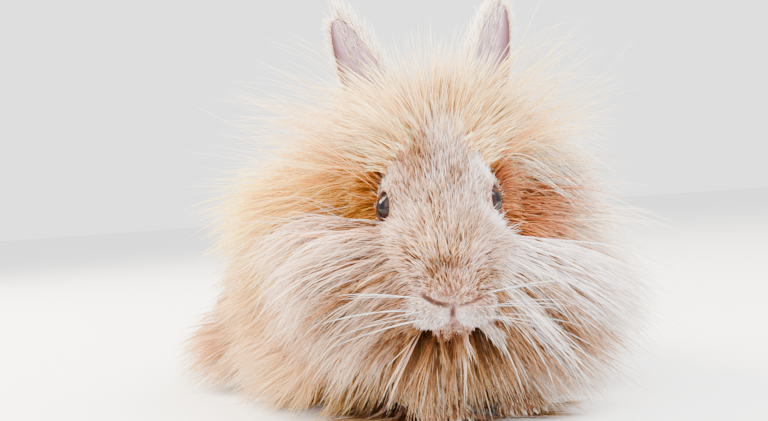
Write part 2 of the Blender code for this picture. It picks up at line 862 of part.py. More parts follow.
def hindleg_flesh(side):
    """Thigh, knee and the long foot that lies flat beside the belly."""
    shape = bmesh.new()
    add_ellipsoid(shape, WORLD, (side * 48, 68, 46), (27, 46, 39), 12, fineness=4)
    add_limb(shape, WORLD, (side * 54, 44, 36), 21, (side * 56, 34, 27), 17)
    add_limb(shape, WORLD, (side * 52, 76, 22), 14, (side * 50, 104, 12), 11)
    add_limb(shape, WORLD, (side * 50, 104, 9), 10.5, (side * 56, 36, 7), 9.5)
    for toe in (-1.5, -0.5, 0.5, 1.5):
        reach = 15 + 2.6 * abs(toe)
        start = (side * 56 + toe * 4.2, 38, 5.8)
        add_limb(shape, WORLD, start, 5, (side * 57 + toe * 5, reach, 3.7), 4.3)
    return flesh("hindleg", shape, voxel=1.9, smoothing=3, triangles=360)


def thigh_dome(side):
    centre, radii, tilt = THIGH_DOME
    return (side * centre[0], *centre[1:]), radii, tilt


def thigh_locks(tree, side, dice):
    """Rows of locks combed back and down over the thigh, and a skirt that hangs from its flank."""
    clear = in_turn(inside_dome(*thigh_dome(side)), above_floor)
    locks = []
    for row, (back, lean, count) in enumerate(THIGH_ROWS):
        for i in range(count):
            share = (i + 0.5 + 0.2 * (-1) ** row + dice.uniform(-0.1, 0.1)) / count
            angle = math.radians(25 + 65 * share)
            spread = Vector((side * math.sin(angle), lean, math.cos(angle)))
            found = root_at(tree, WORLD, (side * 46, back, 42), spread)
            if found is None:
                continue
            heading = Vector((side * 0.15, 1, -0.9))
            size = THIGH_LENGTH * dice.uniform(0.9, 1.1)
            wide = THIGH_WIDTH * dice.uniform(0.9, 1.1)
            locks.append(combed_lock(tree, found, heading, size, wide, THIGH_LIFT, clear))
    count, length, flare = SKIRTS[side]
    for i in range(count):
        back = 30 + 62 * i / (count - 1)
        found = root_at(tree, WORLD, (side * 46, back, 44), (side, 0, 0.1 - 0.35 * (i % 2)))
        start = Vector((side * flare, 0.35, 0.3 * flare - 0.2))
        end = Vector((side * 0.45 * flare, 0.4, -1))
        size = length * dice.uniform(0.9, 1.1)
        across = Vector((side * 0.2, -side, 0))
        locks.append(free_lock(found[0], start, end, across, size, SKIRT_WIDTH, clear))
    return locks


def tail_flesh():
    shape = bmesh.new()
    add_limb(shape, WORLD, (0, 132, 40), 11, (0, 144, 60), 10.5)
    return flesh("tail", shape, voxel=2.2, smoothing=3, triangles=70)


def tail_locks(tree, dice):
    """Locks that stand out round the tail and sweep up to its tip."""
    clear = in_turn(inside_dome(*TAIL_DOME), above_floor)
    count, length, width = TAIL_COAT
    locks = []
    for i in range(count):
        angle = math.radians(-120 + 240 * i / (count - 1))
        up = i % 2
        spread = Vector((math.sin(angle), math.cos(angle), 0.2))
        found = root_at(tree, WORLD, (0, 136 + 5 * up, 42 + 14 * up), spread)
        around = Vector((-spread.y, spread.x, 0))
        end = spread * 0.5 + UP
        size = length * dice.uniform(0.9, 1.1)
        locks.append(free_lock(found[0], spread + UP * 0.5, end, around, size, width, clear))
    return locks


def claws(side, paw, spread, fall, length, radius):
    """Four small curved horns on a paw. The paw is the point between its toes, in millimetres."""
    made = []
    for i in range(4):
        toe = i - 1.5
        x, y, z = paw
        root = mm(side * x + toe * spread, y + fall * abs(toe), z)
        ahead = Vector((toe * 0.1, -1, 0))
        points = (
            root - ahead * 3 * MM,
            root + ahead * length * 0.45 * MM,
            root + ahead * length * MM - UP * 1.2 * MM,
        )
        made.append(tube("claw", points, (radius, radius * 0.8, radius * 0.25), sides=3))
    return made


def stand_on_origin():
    """Moves the whole animal so that the middle of its box's base is the origin."""
    meshes = [obj.data for obj in bpy.data.objects]
    points = [v.co for mesh in meshes for v in mesh.vertices]
    low = Vector(min(p[i] for p in points) for i in range(3))
    high = Vector(max(p[i] for p in points) for i in range(3))
    middle = (low + high) / 2
    for mesh in meshes:
        mesh.transform(Matrix.Translation((-middle.x, -middle.y, -low.z)))


def main():
    clear_scene()
    dice = random.Random(SEED)
    floor = slab_below(0)
    hair_floor = slab_below(HAIR_CLEARANCE)

    forelegs, hindlegs, thigh_coats = {}, {}, {}
    for word, side in SIDES.items():
        fore = combine(foreleg_flesh(side), claws(side, (16.5, -97, 3.2), 4.4, 2.2, 5, 1.1), "UNION")
        hind = hindleg_flesh(side)
        thigh_coats[word] = thigh_locks(surface_of(hind), side, dice)
        combine(hind, claws(side, (57, 13, 3.4), 5, 2.6, 6, 1.3), "UNION")
        forelegs[word] = combine(fore, [copy_of(floor)], "DIFFERENCE")
        hindlegs[word] = combine(hind, [copy_of(floor)], "DIFFERENCE")

    head = head_flesh()
    face_tree = surface_of(head)
    combine(head, [lid_ring(side) for side in SIDES.values()], "UNION")
    ears = {word: ear_blade(side) for word, side in SIDES.items()}
    for ear in ears.values():
        keep_largest(combine(ear, [copy_of(head, SWELL)], "DIFFERENCE"))
    envelopes = [ear_envelope(ear) for ear in ears.values()]
    mane = coat_of(mane_locks(face_tree, dice) + forelock(face_tree, dice), envelopes)
    for envelope in envelopes:
        bpy.data.objects.remove(envelope)
    cheeks = cheek_locks(face_tree, dice) + beard_locks(face_tree, dice)
    combine(head, [mane] + cheeks, "UNION")
    sockets = [eyeball(side, SOCKET_GAP) for side in SIDES.values()]
    combine(head, [dish(THROAT, *HEAD_DISH, 1)] + face_lines(face_tree) + sockets, "DIFFERENCE")

    torso = body_flesh()
    body_tree = surface_of(torso)
    neck = copy_of(torso)
    combine(neck, ruff_locks(body_tree, dice), "UNION")
    fronts = [dish(THROAT, HEAD_DISH[0] + DISH_GAP, HEAD_DISH[1], -1), dish(NECK, *NECK_DISH, 1)]
    combine(neck, fronts, "DIFFERENCE")

    tail = tail_flesh()
    tail_coat = coat_of(tail_locks(surface_of(tail), dice), [torso])
    territories = [TAIL_DOME] + [thigh_dome(side) for side in SIDES.values()]
    torso_coat = torso_locks(body_tree, territories, dice)
    for word, hind in hindlegs.items():
        thigh_coat = coat_of(thigh_coats[word], [torso])
        combine(torso, [copy_of(hind, SWELL)], "DIFFERENCE")
        keep_largest(combine(hind, [thigh_coat], "UNION"))
    combine(torso, [copy_of(tail, SWELL)], "DIFFERENCE")
    combine(tail, [tail_coat], "UNION")
    combine(torso, torso_coat, "UNION")
    combine(torso, [dish(NECK, NECK_DISH[0] + DISH_GAP, NECK_DISH[1], -1)], "DIFFERENCE")

    for trunk in (head, neck, torso):
        shoulders = [copy_of(fore, SWELL) for fore in forelegs.values()]
        combine(trunk, shoulders + [copy_of(hair_floor)], "DIFFERENCE")
        keep_largest(trunk)
    bpy.data.objects.remove(floor)
    bpy.data.objects.remove(hair_floor)

    finish(head, "head", FAWN, 0.9)
    finish(neck, "neck", FAWN, 0.9)
    finish(torso, "torso", CREAM, 0.9)
    finish(keep_largest(tail), "tail", PALE, 0.9)
    for word, side in SIDES.items():
        finish(ears[word], "ear_" + word, EAR_ROSE, 0.7)
        finish(eyeball(side), "eye_" + word, EYE_BROWN, 0.1)
        finish(forelegs[word], "foreleg_" + word, CREAM, 0.9)
        finish(hindlegs[word], "hindleg_" + word, CREAM, 0.9)
    stand_on_origin()


main()
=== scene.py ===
"""Looks of the lionhead rabbit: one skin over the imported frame, and a coat of solid strands on it.

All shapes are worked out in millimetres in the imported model's frame and turned to metres when a mesh
is made. The head has a frame of its own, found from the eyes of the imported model: its origin lies
midway between the eyes, its X points to the rabbit's left and its -Y to the nose.
"""

import math

import bpy
import numpy as np
from mathutils import Matrix, Vector


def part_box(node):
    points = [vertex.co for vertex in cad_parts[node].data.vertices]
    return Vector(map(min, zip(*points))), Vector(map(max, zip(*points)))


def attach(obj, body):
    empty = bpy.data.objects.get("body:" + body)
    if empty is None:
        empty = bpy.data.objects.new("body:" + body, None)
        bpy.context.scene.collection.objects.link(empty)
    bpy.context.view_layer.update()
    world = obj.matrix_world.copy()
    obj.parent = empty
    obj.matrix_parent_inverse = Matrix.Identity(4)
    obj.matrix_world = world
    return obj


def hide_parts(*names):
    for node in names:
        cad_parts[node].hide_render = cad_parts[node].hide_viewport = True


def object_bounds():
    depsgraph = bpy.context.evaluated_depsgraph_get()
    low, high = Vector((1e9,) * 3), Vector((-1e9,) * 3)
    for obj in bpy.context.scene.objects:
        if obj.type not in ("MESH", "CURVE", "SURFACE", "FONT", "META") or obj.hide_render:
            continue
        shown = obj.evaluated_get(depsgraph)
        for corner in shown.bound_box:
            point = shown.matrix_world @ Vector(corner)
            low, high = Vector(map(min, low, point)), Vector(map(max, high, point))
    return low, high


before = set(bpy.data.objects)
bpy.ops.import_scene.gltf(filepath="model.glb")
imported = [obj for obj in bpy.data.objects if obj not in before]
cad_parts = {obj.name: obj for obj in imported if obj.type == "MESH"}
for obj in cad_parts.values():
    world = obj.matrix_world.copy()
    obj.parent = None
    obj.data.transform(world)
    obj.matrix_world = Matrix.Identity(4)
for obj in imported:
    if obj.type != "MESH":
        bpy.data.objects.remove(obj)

CAD_LOW, CAD_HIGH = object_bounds()
MM = 0.001
SIDES = {"left": 1, "right": -1}
dice = np.random.default_rng(20)


# Frames


def unit(vectors):
    vectors = np.asarray(vectors, float)
    return vectors / np.maximum(np.linalg.norm(vectors, axis=-1, keepdims=True), 1e-9)


def stacked(*parts):
    """Points or directions from their parts, each a number or an array."""
    return np.stack(np.broadcast_arrays(*parts), -1)


def box_middle(node):
    low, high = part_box(node)
    return np.array((low + high) / 2) / MM


class Place:
    """A frame with its origin in millimetres and its axes as the columns of a matrix."""

    def __init__(self, origin, axes):
        self.origin = np.array(origin, float)
        self.axes = np.array(axes, float)

    def out(self, points):
        return self.origin + np.asarray(points, float) @ self.axes.T

    def into(self, points):
        return (np.asarray(points, float) - self.origin) @ self.axes

    def turned(self, directions):
        return np.asarray(directions, float) @ self.axes.T


def about_x(angle):
    c, s = math.cos(angle), math.sin(angle)
    return np.array(((1, 0, 0), (0, c, -s), (0, s, c)))


def about_z(angle):
    c, s = math.cos(angle), math.sin(angle)
    return np.array(((c, -s, 0), (s, c, 0), (0, 0, 1)))


EYE_OUT = 16.6
EYE_BACK = 1.0
EYE_RADIUS = 8.4
CORNEA_RADIUS = 6.0
CORNEA_OUT = 3.0
EYE_AXIS = unit((0.90, -0.42, 0.13))
LID_RADIUS = 7.3
LID_OVAL = 0.94
LID_OUT = 5.4
LID_WIDTH = 1.0
LID_THICK = 1.3
LID_REACH = 14
OPEN_EYE = 6.2

# The head's place in the body's own frame, whose Y axis runs below the spine
HEAD_IN_BODY = np.array((-14, -93, 88))
THROAT_NOD = math.radians(-10)
HEAD_DISH = 34

left_eye, right_eye = box_middle("eye_left"), box_middle("eye_right")
between = left_eye - right_eye
HEAD_AXES = about_z(math.atan2(between[1], between[0]))
HEAD = Place((left_eye + right_eye) / 2 - HEAD_AXES @ (0, EYE_BACK, 0), HEAD_AXES)
THROAT = Place(HEAD.origin, HEAD_AXES @ about_x(THROAT_NOD))
BODY = Place(HEAD.origin - HEAD_IN_BODY, np.eye(3))


def eye_place(side):
    """The frame of an eye, with its look along +Z."""
    look = HEAD.turned(EYE_AXIS * (side, 1, 1))
    across = unit(np.cross((0, 0, 1), look))
    axes = np.array((across, np.cross(look, across), look)).T
    return Place(HEAD.out((side * EYE_OUT, EYE_BACK, 0)), axes)


EYES = {side: eye_place(side) for side in SIDES.values()}


# The flesh as a field of signed distances


def blended(a, b, blend):
    """The lesser of two distances, rounded where they are alike."""
    near = np.maximum(blend - np.abs(a - b), 0) / blend
    return np.minimum(a, b) - near * near * blend / 4


def carved(a, b, blend):
    """Distance a with b taken off it, rounded at the rim."""
    return -blended(-a, b, blend)


def from_line(points, start, end):
    """Distances from the stretch between two points, and how far along it the nearest place lies."""
    along = end - start
    share = np.clip(((points - start) @ along) / (along @ along), 0, 1)
    offset = points - start - share[..., None] * along
    return np.sqrt((offset * offset).sum(-1)), share


class Ellipsoid:
    """A ball with three radii, tilted by degrees about its X axis."""

    def __init__(self, place, centre, radii, depth, tilt=0):
        self.place = Place(place.out(centre), place.axes @ about_x(math.radians(tilt)))
        self.radii = np.array(radii, float)
        self.depth = depth
        self.middle, self.reach = self.place.origin, max(radii)

    def distance(self, points):
        scaled = self.place.into(points) / self.radii
        size = np.sqrt((scaled * scaled).sum(-1)) + 1e-9
        slope = np.sqrt(((scaled / self.radii) ** 2).sum(-1)) + 1e-9
        return size * (size - 1) / slope


class Limb:
    """A round bar with a radius at each end."""

    def __init__(self, place, start, start_radius, end, end_radius, depth):
        self.start, self.end = place.out(start), place.out(end)
        self.radii = start_radius, end_radius
        self.depth = depth
        self.middle = (self.start + self.end) / 2
        self.reach = np.linalg.norm(self.end - self.start) / 2 + max(self.radii)

    def distance(self, points):
        away, share = from_line(points, self.start, self.end)
        return away - (self.radii[0] + share * (self.radii[1] - self.radii[0]))


# How deep the skin lies under the solids' surface
NOSE_DEPTH = 0.3
TOE_DEPTH = 0.6
FACE_DEPTH = 1.0
FOOT_DEPTH = 1.2
CHIN_DEPTH = 1.8
LEG_DEPTH = 2.2
SKULL_DEPTH = 2.5
BODY_DEPTH = 4.5
TOES = (-1.5, -0.5, 0.5, 1.5)


def head_forms():
    forms = [
        Ellipsoid(HEAD, (0, 15, 5), (22.5, 27, 24.5), FACE_DEPTH),
        Limb(HEAD, (0, 4, 8), 17, (0, -26, -21), 9.5, FACE_DEPTH),
        Ellipsoid(HEAD, (0, -27, -33), (11, 10, 11), FACE_DEPTH),
        Ellipsoid(HEAD, (0, -34, -31), (5.6, 4.4, 4.4), NOSE_DEPTH),
        Ellipsoid(HEAD, (0, -23, -44.5), (7.5, 8.5, 5), CHIN_DEPTH),
        Ellipsoid(HEAD, (0, -27.5, -46.5), (6.5, 3.6, 2.4), CHIN_DEPTH),
        Ellipsoid(HEAD, (0, 34, -8), (25, 22, 29), SKULL_DEPTH),
    ]
    for side in SIDES.values():
        forms += [
            Ellipsoid(HEAD, (side * 7, -29.5, -36), (8.6, 8.6, 9), FACE_DEPTH),
            Limb(HEAD, (side * 4.5, -17, -36), 8, (side * 12.5, 10, -25), 13, FACE_DEPTH),
            Limb(HEAD, (side * 6, 0, -4), 14, (side * 6.5, -23, -27), 9.5, FACE_DEPTH),
            Ellipsoid(HEAD, (side * 12.5, 4, -17), (12.8, 18, 17), FACE_DEPTH),
            Ellipsoid(HEAD, (side * 14.5, 1, 3), (8, 13, 13), FACE_DEPTH),
            Ellipsoid(HEAD, (side * 12, 17, 20), (8, 9, 9), FACE_DEPTH),
        ]
    return forms


def body_forms():
    return [
        Ellipsoid(BODY, (-8, -64, 76), (34, 27, 36), BODY_DEPTH),
        Ellipsoid(BODY, (-4, -46, 60), (56, 33, 50), BODY_DEPTH),
        Ellipsoid(BODY, (-1, -22, 54), (62, 42, 49), BODY_DEPTH),
        Ellipsoid(BODY, (0, 4, 60), (62, 62, 56), BODY_DEPTH),
        Ellipsoid(BODY, (0, 48, 64), (62, 60, 58), BODY_DEPTH),
        Ellipsoid(BODY, (0, 86, 56), (56, 48, 50), BODY_DEPTH),
        Limb(BODY, (0, 132, 40), 11, (0, 144, 60), 10.5, LEG_DEPTH),
    ]


def leg_forms(side):
    forms = [
        Limb(BODY, (side * 36, -26, 46), 16, (side * 38, -8, 26), 13, LEG_DEPTH),
        Limb(BODY, (side * 38, -8, 24), 12, (side * 22, -62, 12), 9.5, LEG_DEPTH),
        Limb(BODY, (side * 22, -62, 10.5), 9.5, (side * 17, -84, 7), 8.5, FOOT_DEPTH),
        Ellipsoid(BODY, (side * 48, 68, 46), (27, 46, 39), BODY_DEPTH, 12),
        Limb(BODY, (side * 54, 44, 36), 21, (side * 56, 34, 27), 17, BODY_DEPTH),
        Limb(BODY, (side * 52, 76, 22), 14, (side * 50, 104, 12), 11, LEG_DEPTH),
        Limb(BODY, (side * 50, 104, 9), 10.5, (side * 56, 36, 7), 9.5, FOOT_DEPTH),
    ]
    for toe in TOES:
        root, tip = side * 17 + toe * 3.6, side * 16.5 + toe * 4.4
        ahead = -(95 - 2.2 * abs(toe))
        forms.append(Limb(BODY, (root, -82, 5.5), 4.4, (tip, ahead, 3.4), 3.9, TOE_DEPTH))
        root, tip = side * 56 + toe * 4.2, side * 57 + toe * 5
        ahead = 15 + 2.6 * abs(toe)
        forms.append(Limb(BODY, (root, 38, 5.8), 5, (tip, ahead, 3.7), 4.3, TOE_DEPTH))
    return forms


FORMS = head_forms() + body_forms()
for side in SIDES.values():
    FORMS += leg_forms(side)
BLEND = 5.0
SLIT_BLEND = 1.6
FAR = 60.0
OUTSIDE = 12.0


def flesh_distance(points):
    """Signed distance to the outside of the flesh and its inner coat."""
    points = np.asarray(points, float)
    found = np.full(points.shape[:-1], FAR)
    for form in FORMS:
        found = blended(found, form.distance(points), BLEND)
    return found


def flesh_normal(points, step=0.8):
    corners = np.array(((1, -1, -1), (-1, -1, 1), (-1, 1, -1), (1, 1, 1)), float)
    return unit(sum(c * flesh_distance(points + c * step)[..., None] for c in corners))


def on_skin(path, depth, rounds=4):
    """Points of the head's frame moved onto the skin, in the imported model's frame."""
    points = HEAD.out(path)
    for _ in range(rounds):
        points = points - flesh_normal(points) * (flesh_distance(points) + depth)[:, None]
    return points


def face_lines():
    """The paths and radii of the cleft below the nose, the nostrils and the mouth."""
    middle = ((0, -40, -36.8), (0, -39, -39.5), (0, -37, -42.5), (0, -34, -45.5))
    lines = [(on_skin(middle, FACE_DEPTH + 0.3), 0.8)]
    for side, wide, rise in ((1, 0.5, 0.55), (-1, 0.9, 1.0)):
        nostril = ((0.6, -40, -37), (3.4, -39, -36.2), (6.6, -37, -34.6), (9.5, -34, -32.8))
        nostril = np.array(nostril) * (1, 1, rise) - (0, 0, 36.8 * (1 - rise))
        mouth = ((0, -36, -45.1), (4, -34, -45.7), (8, -30, -45.3), (12.5, -22, -42.5))
        mirror = np.array((side, 1, 1))
        lines.append((on_skin(nostril * mirror, FACE_DEPTH + 0.2), wide))
        lines.append((on_skin(np.array(mouth) * mirror, FACE_DEPTH + 0.4), 0.9))
    return lines


SLITS = face_lines()


def path_distance(points, path, radius):
    best = np.full(points.shape[:-1], FAR)
    for start, end in zip(path, path[1:]):
        best = np.minimum(best, from_line(points, start, end)[0] - radius)
    return best


def slit_distance(points):
    """Distance from the nearest of the nostrils, the cleft and the mouth."""
    return np.min([path_distance(points, path, radius) for path, radius in SLITS], axis=0)


def off_look(local):
    """Distance from the line of an eye's look, for lids that are a little wider than high."""
    return np.hypot(local[..., 0], local[..., 1] / LID_OVAL)


# The skin


def spaced(low, high, fine_low, fine_high, fine, coarse):
    """Grid lines from low to high, fine between the two inner limits and coarse outside them."""
    before = np.arange(fine_low, low - coarse, -coarse)[:0:-1]
    middle = np.arange(fine_low, fine_high, fine)
    after = np.arange(middle[-1] + fine, high + coarse, coarse)
    return np.concatenate((before, middle, after))


def block(axes, middle, reach, margin=8):
    """The part of the grid round a place, as slices and as points."""
    spans = []
    for axis, m in zip(axes, middle):
        first, last = np.searchsorted(axis, (m - reach - margin, m + reach + margin))
        spans.append(slice(first, last))
    grid = np.meshgrid(*(axis[span] for axis, span in zip(axes, spans)), indexing="ij")
    return tuple(spans), np.stack(grid, -1)


def lids(old, local):
    """Opens the socket and lays the rim of both lids round it."""
    away = off_look(local)
    ring = np.hypot(away - LID_RADIUS, local[..., 2] - LID_OUT) - LID_THICK
    socket = np.sqrt((local * local).sum(-1)) - (EYE_RADIUS - 0.6)
    opening = np.maximum(away - LID_RADIUS + 1.1, -local[..., 2])
    return carved(carved(blended(old, ring, 3.0), socket, 0.8), opening, 1.2)


def skin_field(axes):
    """Distances to the skin on the grid, with the sockets, lids, nostrils and mouth worked in."""
    field = np.full([len(axis) for axis in axes], OUTSIDE)
    for form in FORMS:
        spans, grid = block(axes, form.middle, form.reach)
        field[spans] = blended(field[spans], form.distance(grid) + form.depth, BLEND)
    for eye in EYES.values():
        spans, grid = block(axes, eye.origin, LID_REACH)
        field[spans] = lids(field[spans], eye.into(grid))
    for path, radius in SLITS:
        middle = path.mean(0)
        reach = np.linalg.norm(path - middle, axis=1).max() + radius
        spans, grid = block(axes, middle, reach)
        field[spans] = carved(field[spans], path_distance(grid, path, radius), SLIT_BLEND)
    return field


def surface_net(axes, field):
    """The closed surface where the field is zero: one point in each crossed cell of the grid."""
    inside = field < 0
    cells = tuple(n - 1 for n in field.shape)
    count = np.zeros(cells, np.int8)
    for corner in np.ndindex(2, 2, 2):
        count += inside[tuple(slice(c, c + n) for c, n in zip(corner, cells))]
    crossed = np.argwhere((count > 0) & (count < 8))
    number = np.full(cells, -1, np.int64)
    number[tuple(crossed.T)] = np.arange(len(crossed))
    total = np.zeros((len(crossed), 3))
    hits = np.zeros(len(crossed))
    for axis in range(3):
        step = np.eye(3, dtype=int)[axis]
        for corner in np.ndindex(2, 2, 2):
            if corner[axis]:
                continue
            low = crossed + corner
            high = low + step
            a, b = field[tuple(low.T)], field[tuple(high.T)]
            cut = (a < 0) != (b < 0)
            share = np.where(cut, a / np.where(cut, a - b, 1), 0)
            start, end = (np.stack([axes[k][p[:, k]] for k in range(3)], -1) for p in (low, high))
            total[cut] += (start + (end - start) * share[:, None])[cut]
            hits += cut
    quads = []
    for axis in range(3):
        one, two = (axis + 1) % 3, (axis + 2) % 3
        here, there = [slice(None)] * 3, [slice(None)] * 3
        here[axis], there[axis] = slice(0, -1), slice(1, None)
        change = np.argwhere(inside[tuple(here)] != inside[tuple(there)])
        inner = np.ones(len(change), bool)
        for k in (one, two):
            inner &= (change[:, k] > 0) & (change[:, k] < field.shape[k] - 1)
        change = change[inner]
        corners = []
        for a, b in ((-1, -1), (0, -1), (0, 0), (-1, 0)):
            cell = change.copy()
            cell[:, one] += a
            cell[:, two] += b
            corners.append(number[tuple(cell.T)])
        quad = np.stack(corners, -1)
        outward = inside[tuple(change.T)]
        quads.append(np.where(outward[:, None], quad, quad[:, ::-1]))
    return total / hits[:, None], np.concatenate(quads)


def ring_quads(rings, spokes):
    """Four-cornered faces between closed rings of points that follow one another."""
    first = np.arange(rings - 1)[:, None] * spokes
    here = np.arange(spokes)
    after = (here + 1) % spokes
    corners = first + here, first + after, first + after + spokes, first + here + spokes
    return np.stack(corners, -1).reshape(-1, 4)


def triangles_of(quads):
    return np.concatenate((quads[:, (0, 1, 2)], quads[:, (0, 2, 3)]))


def new_object(name, data):
    obj = bpy.data.objects.new(name, data)
    bpy.context.scene.collection.objects.link(obj)
    return obj


def mesh_object(name, points, faces):
    """An object from points in millimetres and faces that all have the same number of corners."""
    mesh = bpy.data.meshes.new(name)
    faces = np.ascontiguousarray(faces, np.int32)
    mesh.vertices.add(len(points))
    mesh.vertices.foreach_set("co", (np.asarray(points) * MM).astype(np.float32).ravel())
    mesh.loops.add(faces.size)
    mesh.loops.foreach_set("vertex_index", faces.ravel())
    mesh.polygons.add(len(faces))
    starts = np.arange(0, faces.size, faces.shape[1], dtype=np.int32)
    mesh.polygons.foreach_set("loop_start", starts)
    mesh.update(calc_edges=True)
    mesh.polygons.foreach_set("use_smooth", np.full(len(faces), True))
    return new_object(name, mesh)


def paint(obj, colours):
    """Keeps a colour for each point, given as display colours from 0 to 255."""
    attribute = obj.data.color_attributes.new("MarkingsAndPaintedLight", "FLOAT_COLOR", "POINT")
    share = np.clip(np.asarray(colours, float) / 255, 0, 1)
    shades = np.ones((len(colours), 4), np.float32)
    shades[:, :3] = np.where(share <= 0.04045, share / 12.92, ((share + 0.055) / 1.055) ** 2.4)
    attribute.data.foreach_set("color", shades.ravel())


# Skin markings and painted shade, as display colours

FAWN = (138, 90, 64)
UNDERCOAT = (206, 150, 106)
BACK_FAWN = (238, 204, 172)
# Painted shade: dark brown inside the nostrils, the cleft below the nose and the mouth
SLIT_PAINTED_SHADE = (64, 36, 30)
LID_BROWN = (70, 42, 40)

# Each spot: its centre and radii in the head's frame, its colour and its strength
FACE_SPOTS = (
    ((-14, 2, 26), (14, 12, 7), (176, 100, 46), 0.8),
    ((15, 2, 26), (12, 12, 7), (180, 106, 56), 0.8),
    ((0, -26, -16), (8, 16, 12), (150, 94, 54), 0.55),
    ((0, -38, -30), (9, 8, 4.5), (160, 104, 74), 0.6),
    ((-12, -17, -18), (5, 7, 4), (156, 96, 56), 0.6),
    ((13, -18, -20), (5, 7, 5), (160, 100, 60), 0.5),
    ((-8, -5, 14), (4, 12, 10), (84, 34, 18), 1),
    ((3, -4, 27), (5, 10, 9), (250, 230, 214), 0.75),
    ((-20, -2, 12), (5, 9, 5), (250, 236, 228), 0.8),
    ((-12, -5, 11), (6, 10, 11), (150, 90, 56), 0.6),
    ((18, -3, 12), (7, 10, 7), (252, 240, 238), 0.9),
    ((17, -12, -9), (8, 10, 7), (248, 232, 236), 0.85),
    ((0, -40, -41), (14, 14, 5), (250, 240, 246), 0.85),
    # Painted shade in the groove of the cleft below the nose
    ((0, -37, -42.5), (1.4, 9, 6.5), (112, 70, 72), 0.95),
    ((-9, -36, -34), (5, 9, 2.5), (252, 242, 244), 0.5),
    # Painted shade under the chin
    ((0, -20, -53), (20, 26, 7), (170, 112, 76), 0.85),
    # Rust under-hair with painted shade, in the hollows behind the eyes
    ((-24, 17, 2), (9, 7, 16), (156, 78, 24), 0.9),
    ((25, 17, 0), (9, 7, 16), (132, 60, 24), 0.95),
)


def mixed(a, b, share):
    """The colours a with a share of b: one share for all, or one for each point or strand."""
    share = np.asarray(share, float)[..., None]
    return np.asarray(a, float) * (1 - share) + np.asarray(b, float) * share


def spotted(local, colours):
    """The colours with the face's soft spots laid over them: markings, and painted shade in the cleft,
    under the chin and in the hollows behind the eyes.
    """
    for centre, radii, colour, strength in FACE_SPOTS:
        away = (((local - centre) / radii) ** 2).sum(-1)
        colours = mixed(colours, colour, strength * np.exp(-away * 0.9))
    return colours


def eye_distance(points):
    """Distance from the nearer opening of the lids, along the skin round it."""
    nearest = np.full(points.shape[:-1], 99.0)
    for eye in EYES.values():
        local = eye.into(points)
        facing = (local[..., 2] > -2) & (local[..., 2] < 18)
        nearest = np.where(facing, np.minimum(nearest, off_look(local) - OPEN_EYE), nearest)
    return nearest


def skin_colours(points):
    """The markings of the skin, with painted shade in the slits, in the cleft, under the chin and in
    the hollows behind the eyes, which the roots of the coat share.
    """
    local = HEAD.into(points)
    back = local[:, 1]
    colours = spotted(local, mixed(FAWN, UNDERCOAT, np.clip((back - 8) / 14, 0, 1)))
    colours = mixed(colours, BACK_FAWN, np.clip((back - 45) / 40, 0, 1))
    colours = mixed(colours, LID_BROWN, np.clip(1.4 - eye_distance(points), 0, 1))
    # Painted shade inside the nostrils, the cleft and the mouth
    return mixed(colours, SLIT_PAINTED_SHADE, np.clip(1 - (slit_distance(points) + 0.1) / 0.6, 0, 1))


# Materials


def material(name, roughness, sheen=0.0, subsurface=0.0, gloss=0.12):
    """A material and its one shader."""
    made = bpy.data.materials.new(name)
    made.use_nodes = True
    shader = made.node_tree.nodes["Principled BSDF"]
    shader.inputs["Roughness"].default_value = roughness
    shader.inputs["Sheen Weight"].default_value = sheen
    shader.inputs["Sheen Roughness"].default_value = 0.4
    shader.inputs["Subsurface Weight"].default_value = subsurface
    shader.inputs["Subsurface Radius"].default_value = (1, 0.6, 0.4)
    shader.inputs["Subsurface Scale"].default_value = 0.0012
    shader.inputs["Specular IOR Level"].default_value = gloss
    return made, shader


def painted(name, roughness, **more):
    """A material in the colours kept on the mesh."""
    made, shader = material(name, roughness, **more)
    colours = made.node_tree.nodes.new("ShaderNodeAttribute")
    colours.attribute_name = "MarkingsAndPaintedLight"
    made.node_tree.links.new(colours.outputs["Color"], shader.inputs["Base Color"])
    return made


def mottled(name, roughness, scale, detail, dark, height, **more):
    """A painted material with a fine grain that darkens it in places and raises small bumps."""
    made = painted(name, roughness, **more)
    nodes, links = made.node_tree.nodes, made.node_tree.links
    shader, colours = nodes["Principled BSDF"], nodes["Attribute"]
    place = nodes.new("ShaderNodeTexCoord")
    grain = nodes.new("ShaderNodeTexNoise")
    grain.inputs["Scale"].default_value = scale
    grain.inputs["Detail"].default_value = detail
    ramp = nodes.new("ShaderNodeValToRGB")
    ramp.color_ramp.elements[0].color = dark
    ramp.color_ramp.elements[1].color = (1, 1, 1, 1)
    mix = nodes.new("ShaderNodeMixRGB")
    mix.blend_type = "MULTIPLY"
    mix.inputs["Fac"].default_value = 1
    bump = nodes.new("ShaderNodeBump")
    bump.inputs["Distance"].default_value = height
    links.new(place.outputs["Object"], grain.inputs["Vector"])
    links.new(grain.outputs["Fac"], ramp.inputs["Fac"])
    links.new(ramp.outputs["Color"], mix.inputs["Color2"])
    links.new(colours.outputs["Color"], mix.inputs["Color1"])
    links.new(mix.outputs["Color"], shader.inputs["Base Color"])
    links.new(grain.outputs["Fac"], bump.inputs["Height"])
    links.new(bump.outputs["Normal"], shader.inputs["Normal"])
    return made


def dress(obj, made, slot, *nodes):
    """Gives a piece its material and ties it to the body that it rides on; the slot is not used."""
    obj.data.materials.append(made)
    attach(obj, "root")
    if nodes:
        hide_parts(*nodes)


FUR = painted("fur", 0.5, subsurface=0.6)

# Along each axis: the grid's ends, its fine stretch round the head's origin, and its coarse cell
GRID = ((-92, 96, -36, 36, 2.4), (-156, 156, -44, 8, 2.4), (-4, 140, -54, 16, 2.2))
FINE_CELL = 0.9
SOLE_HEIGHT = 0.4


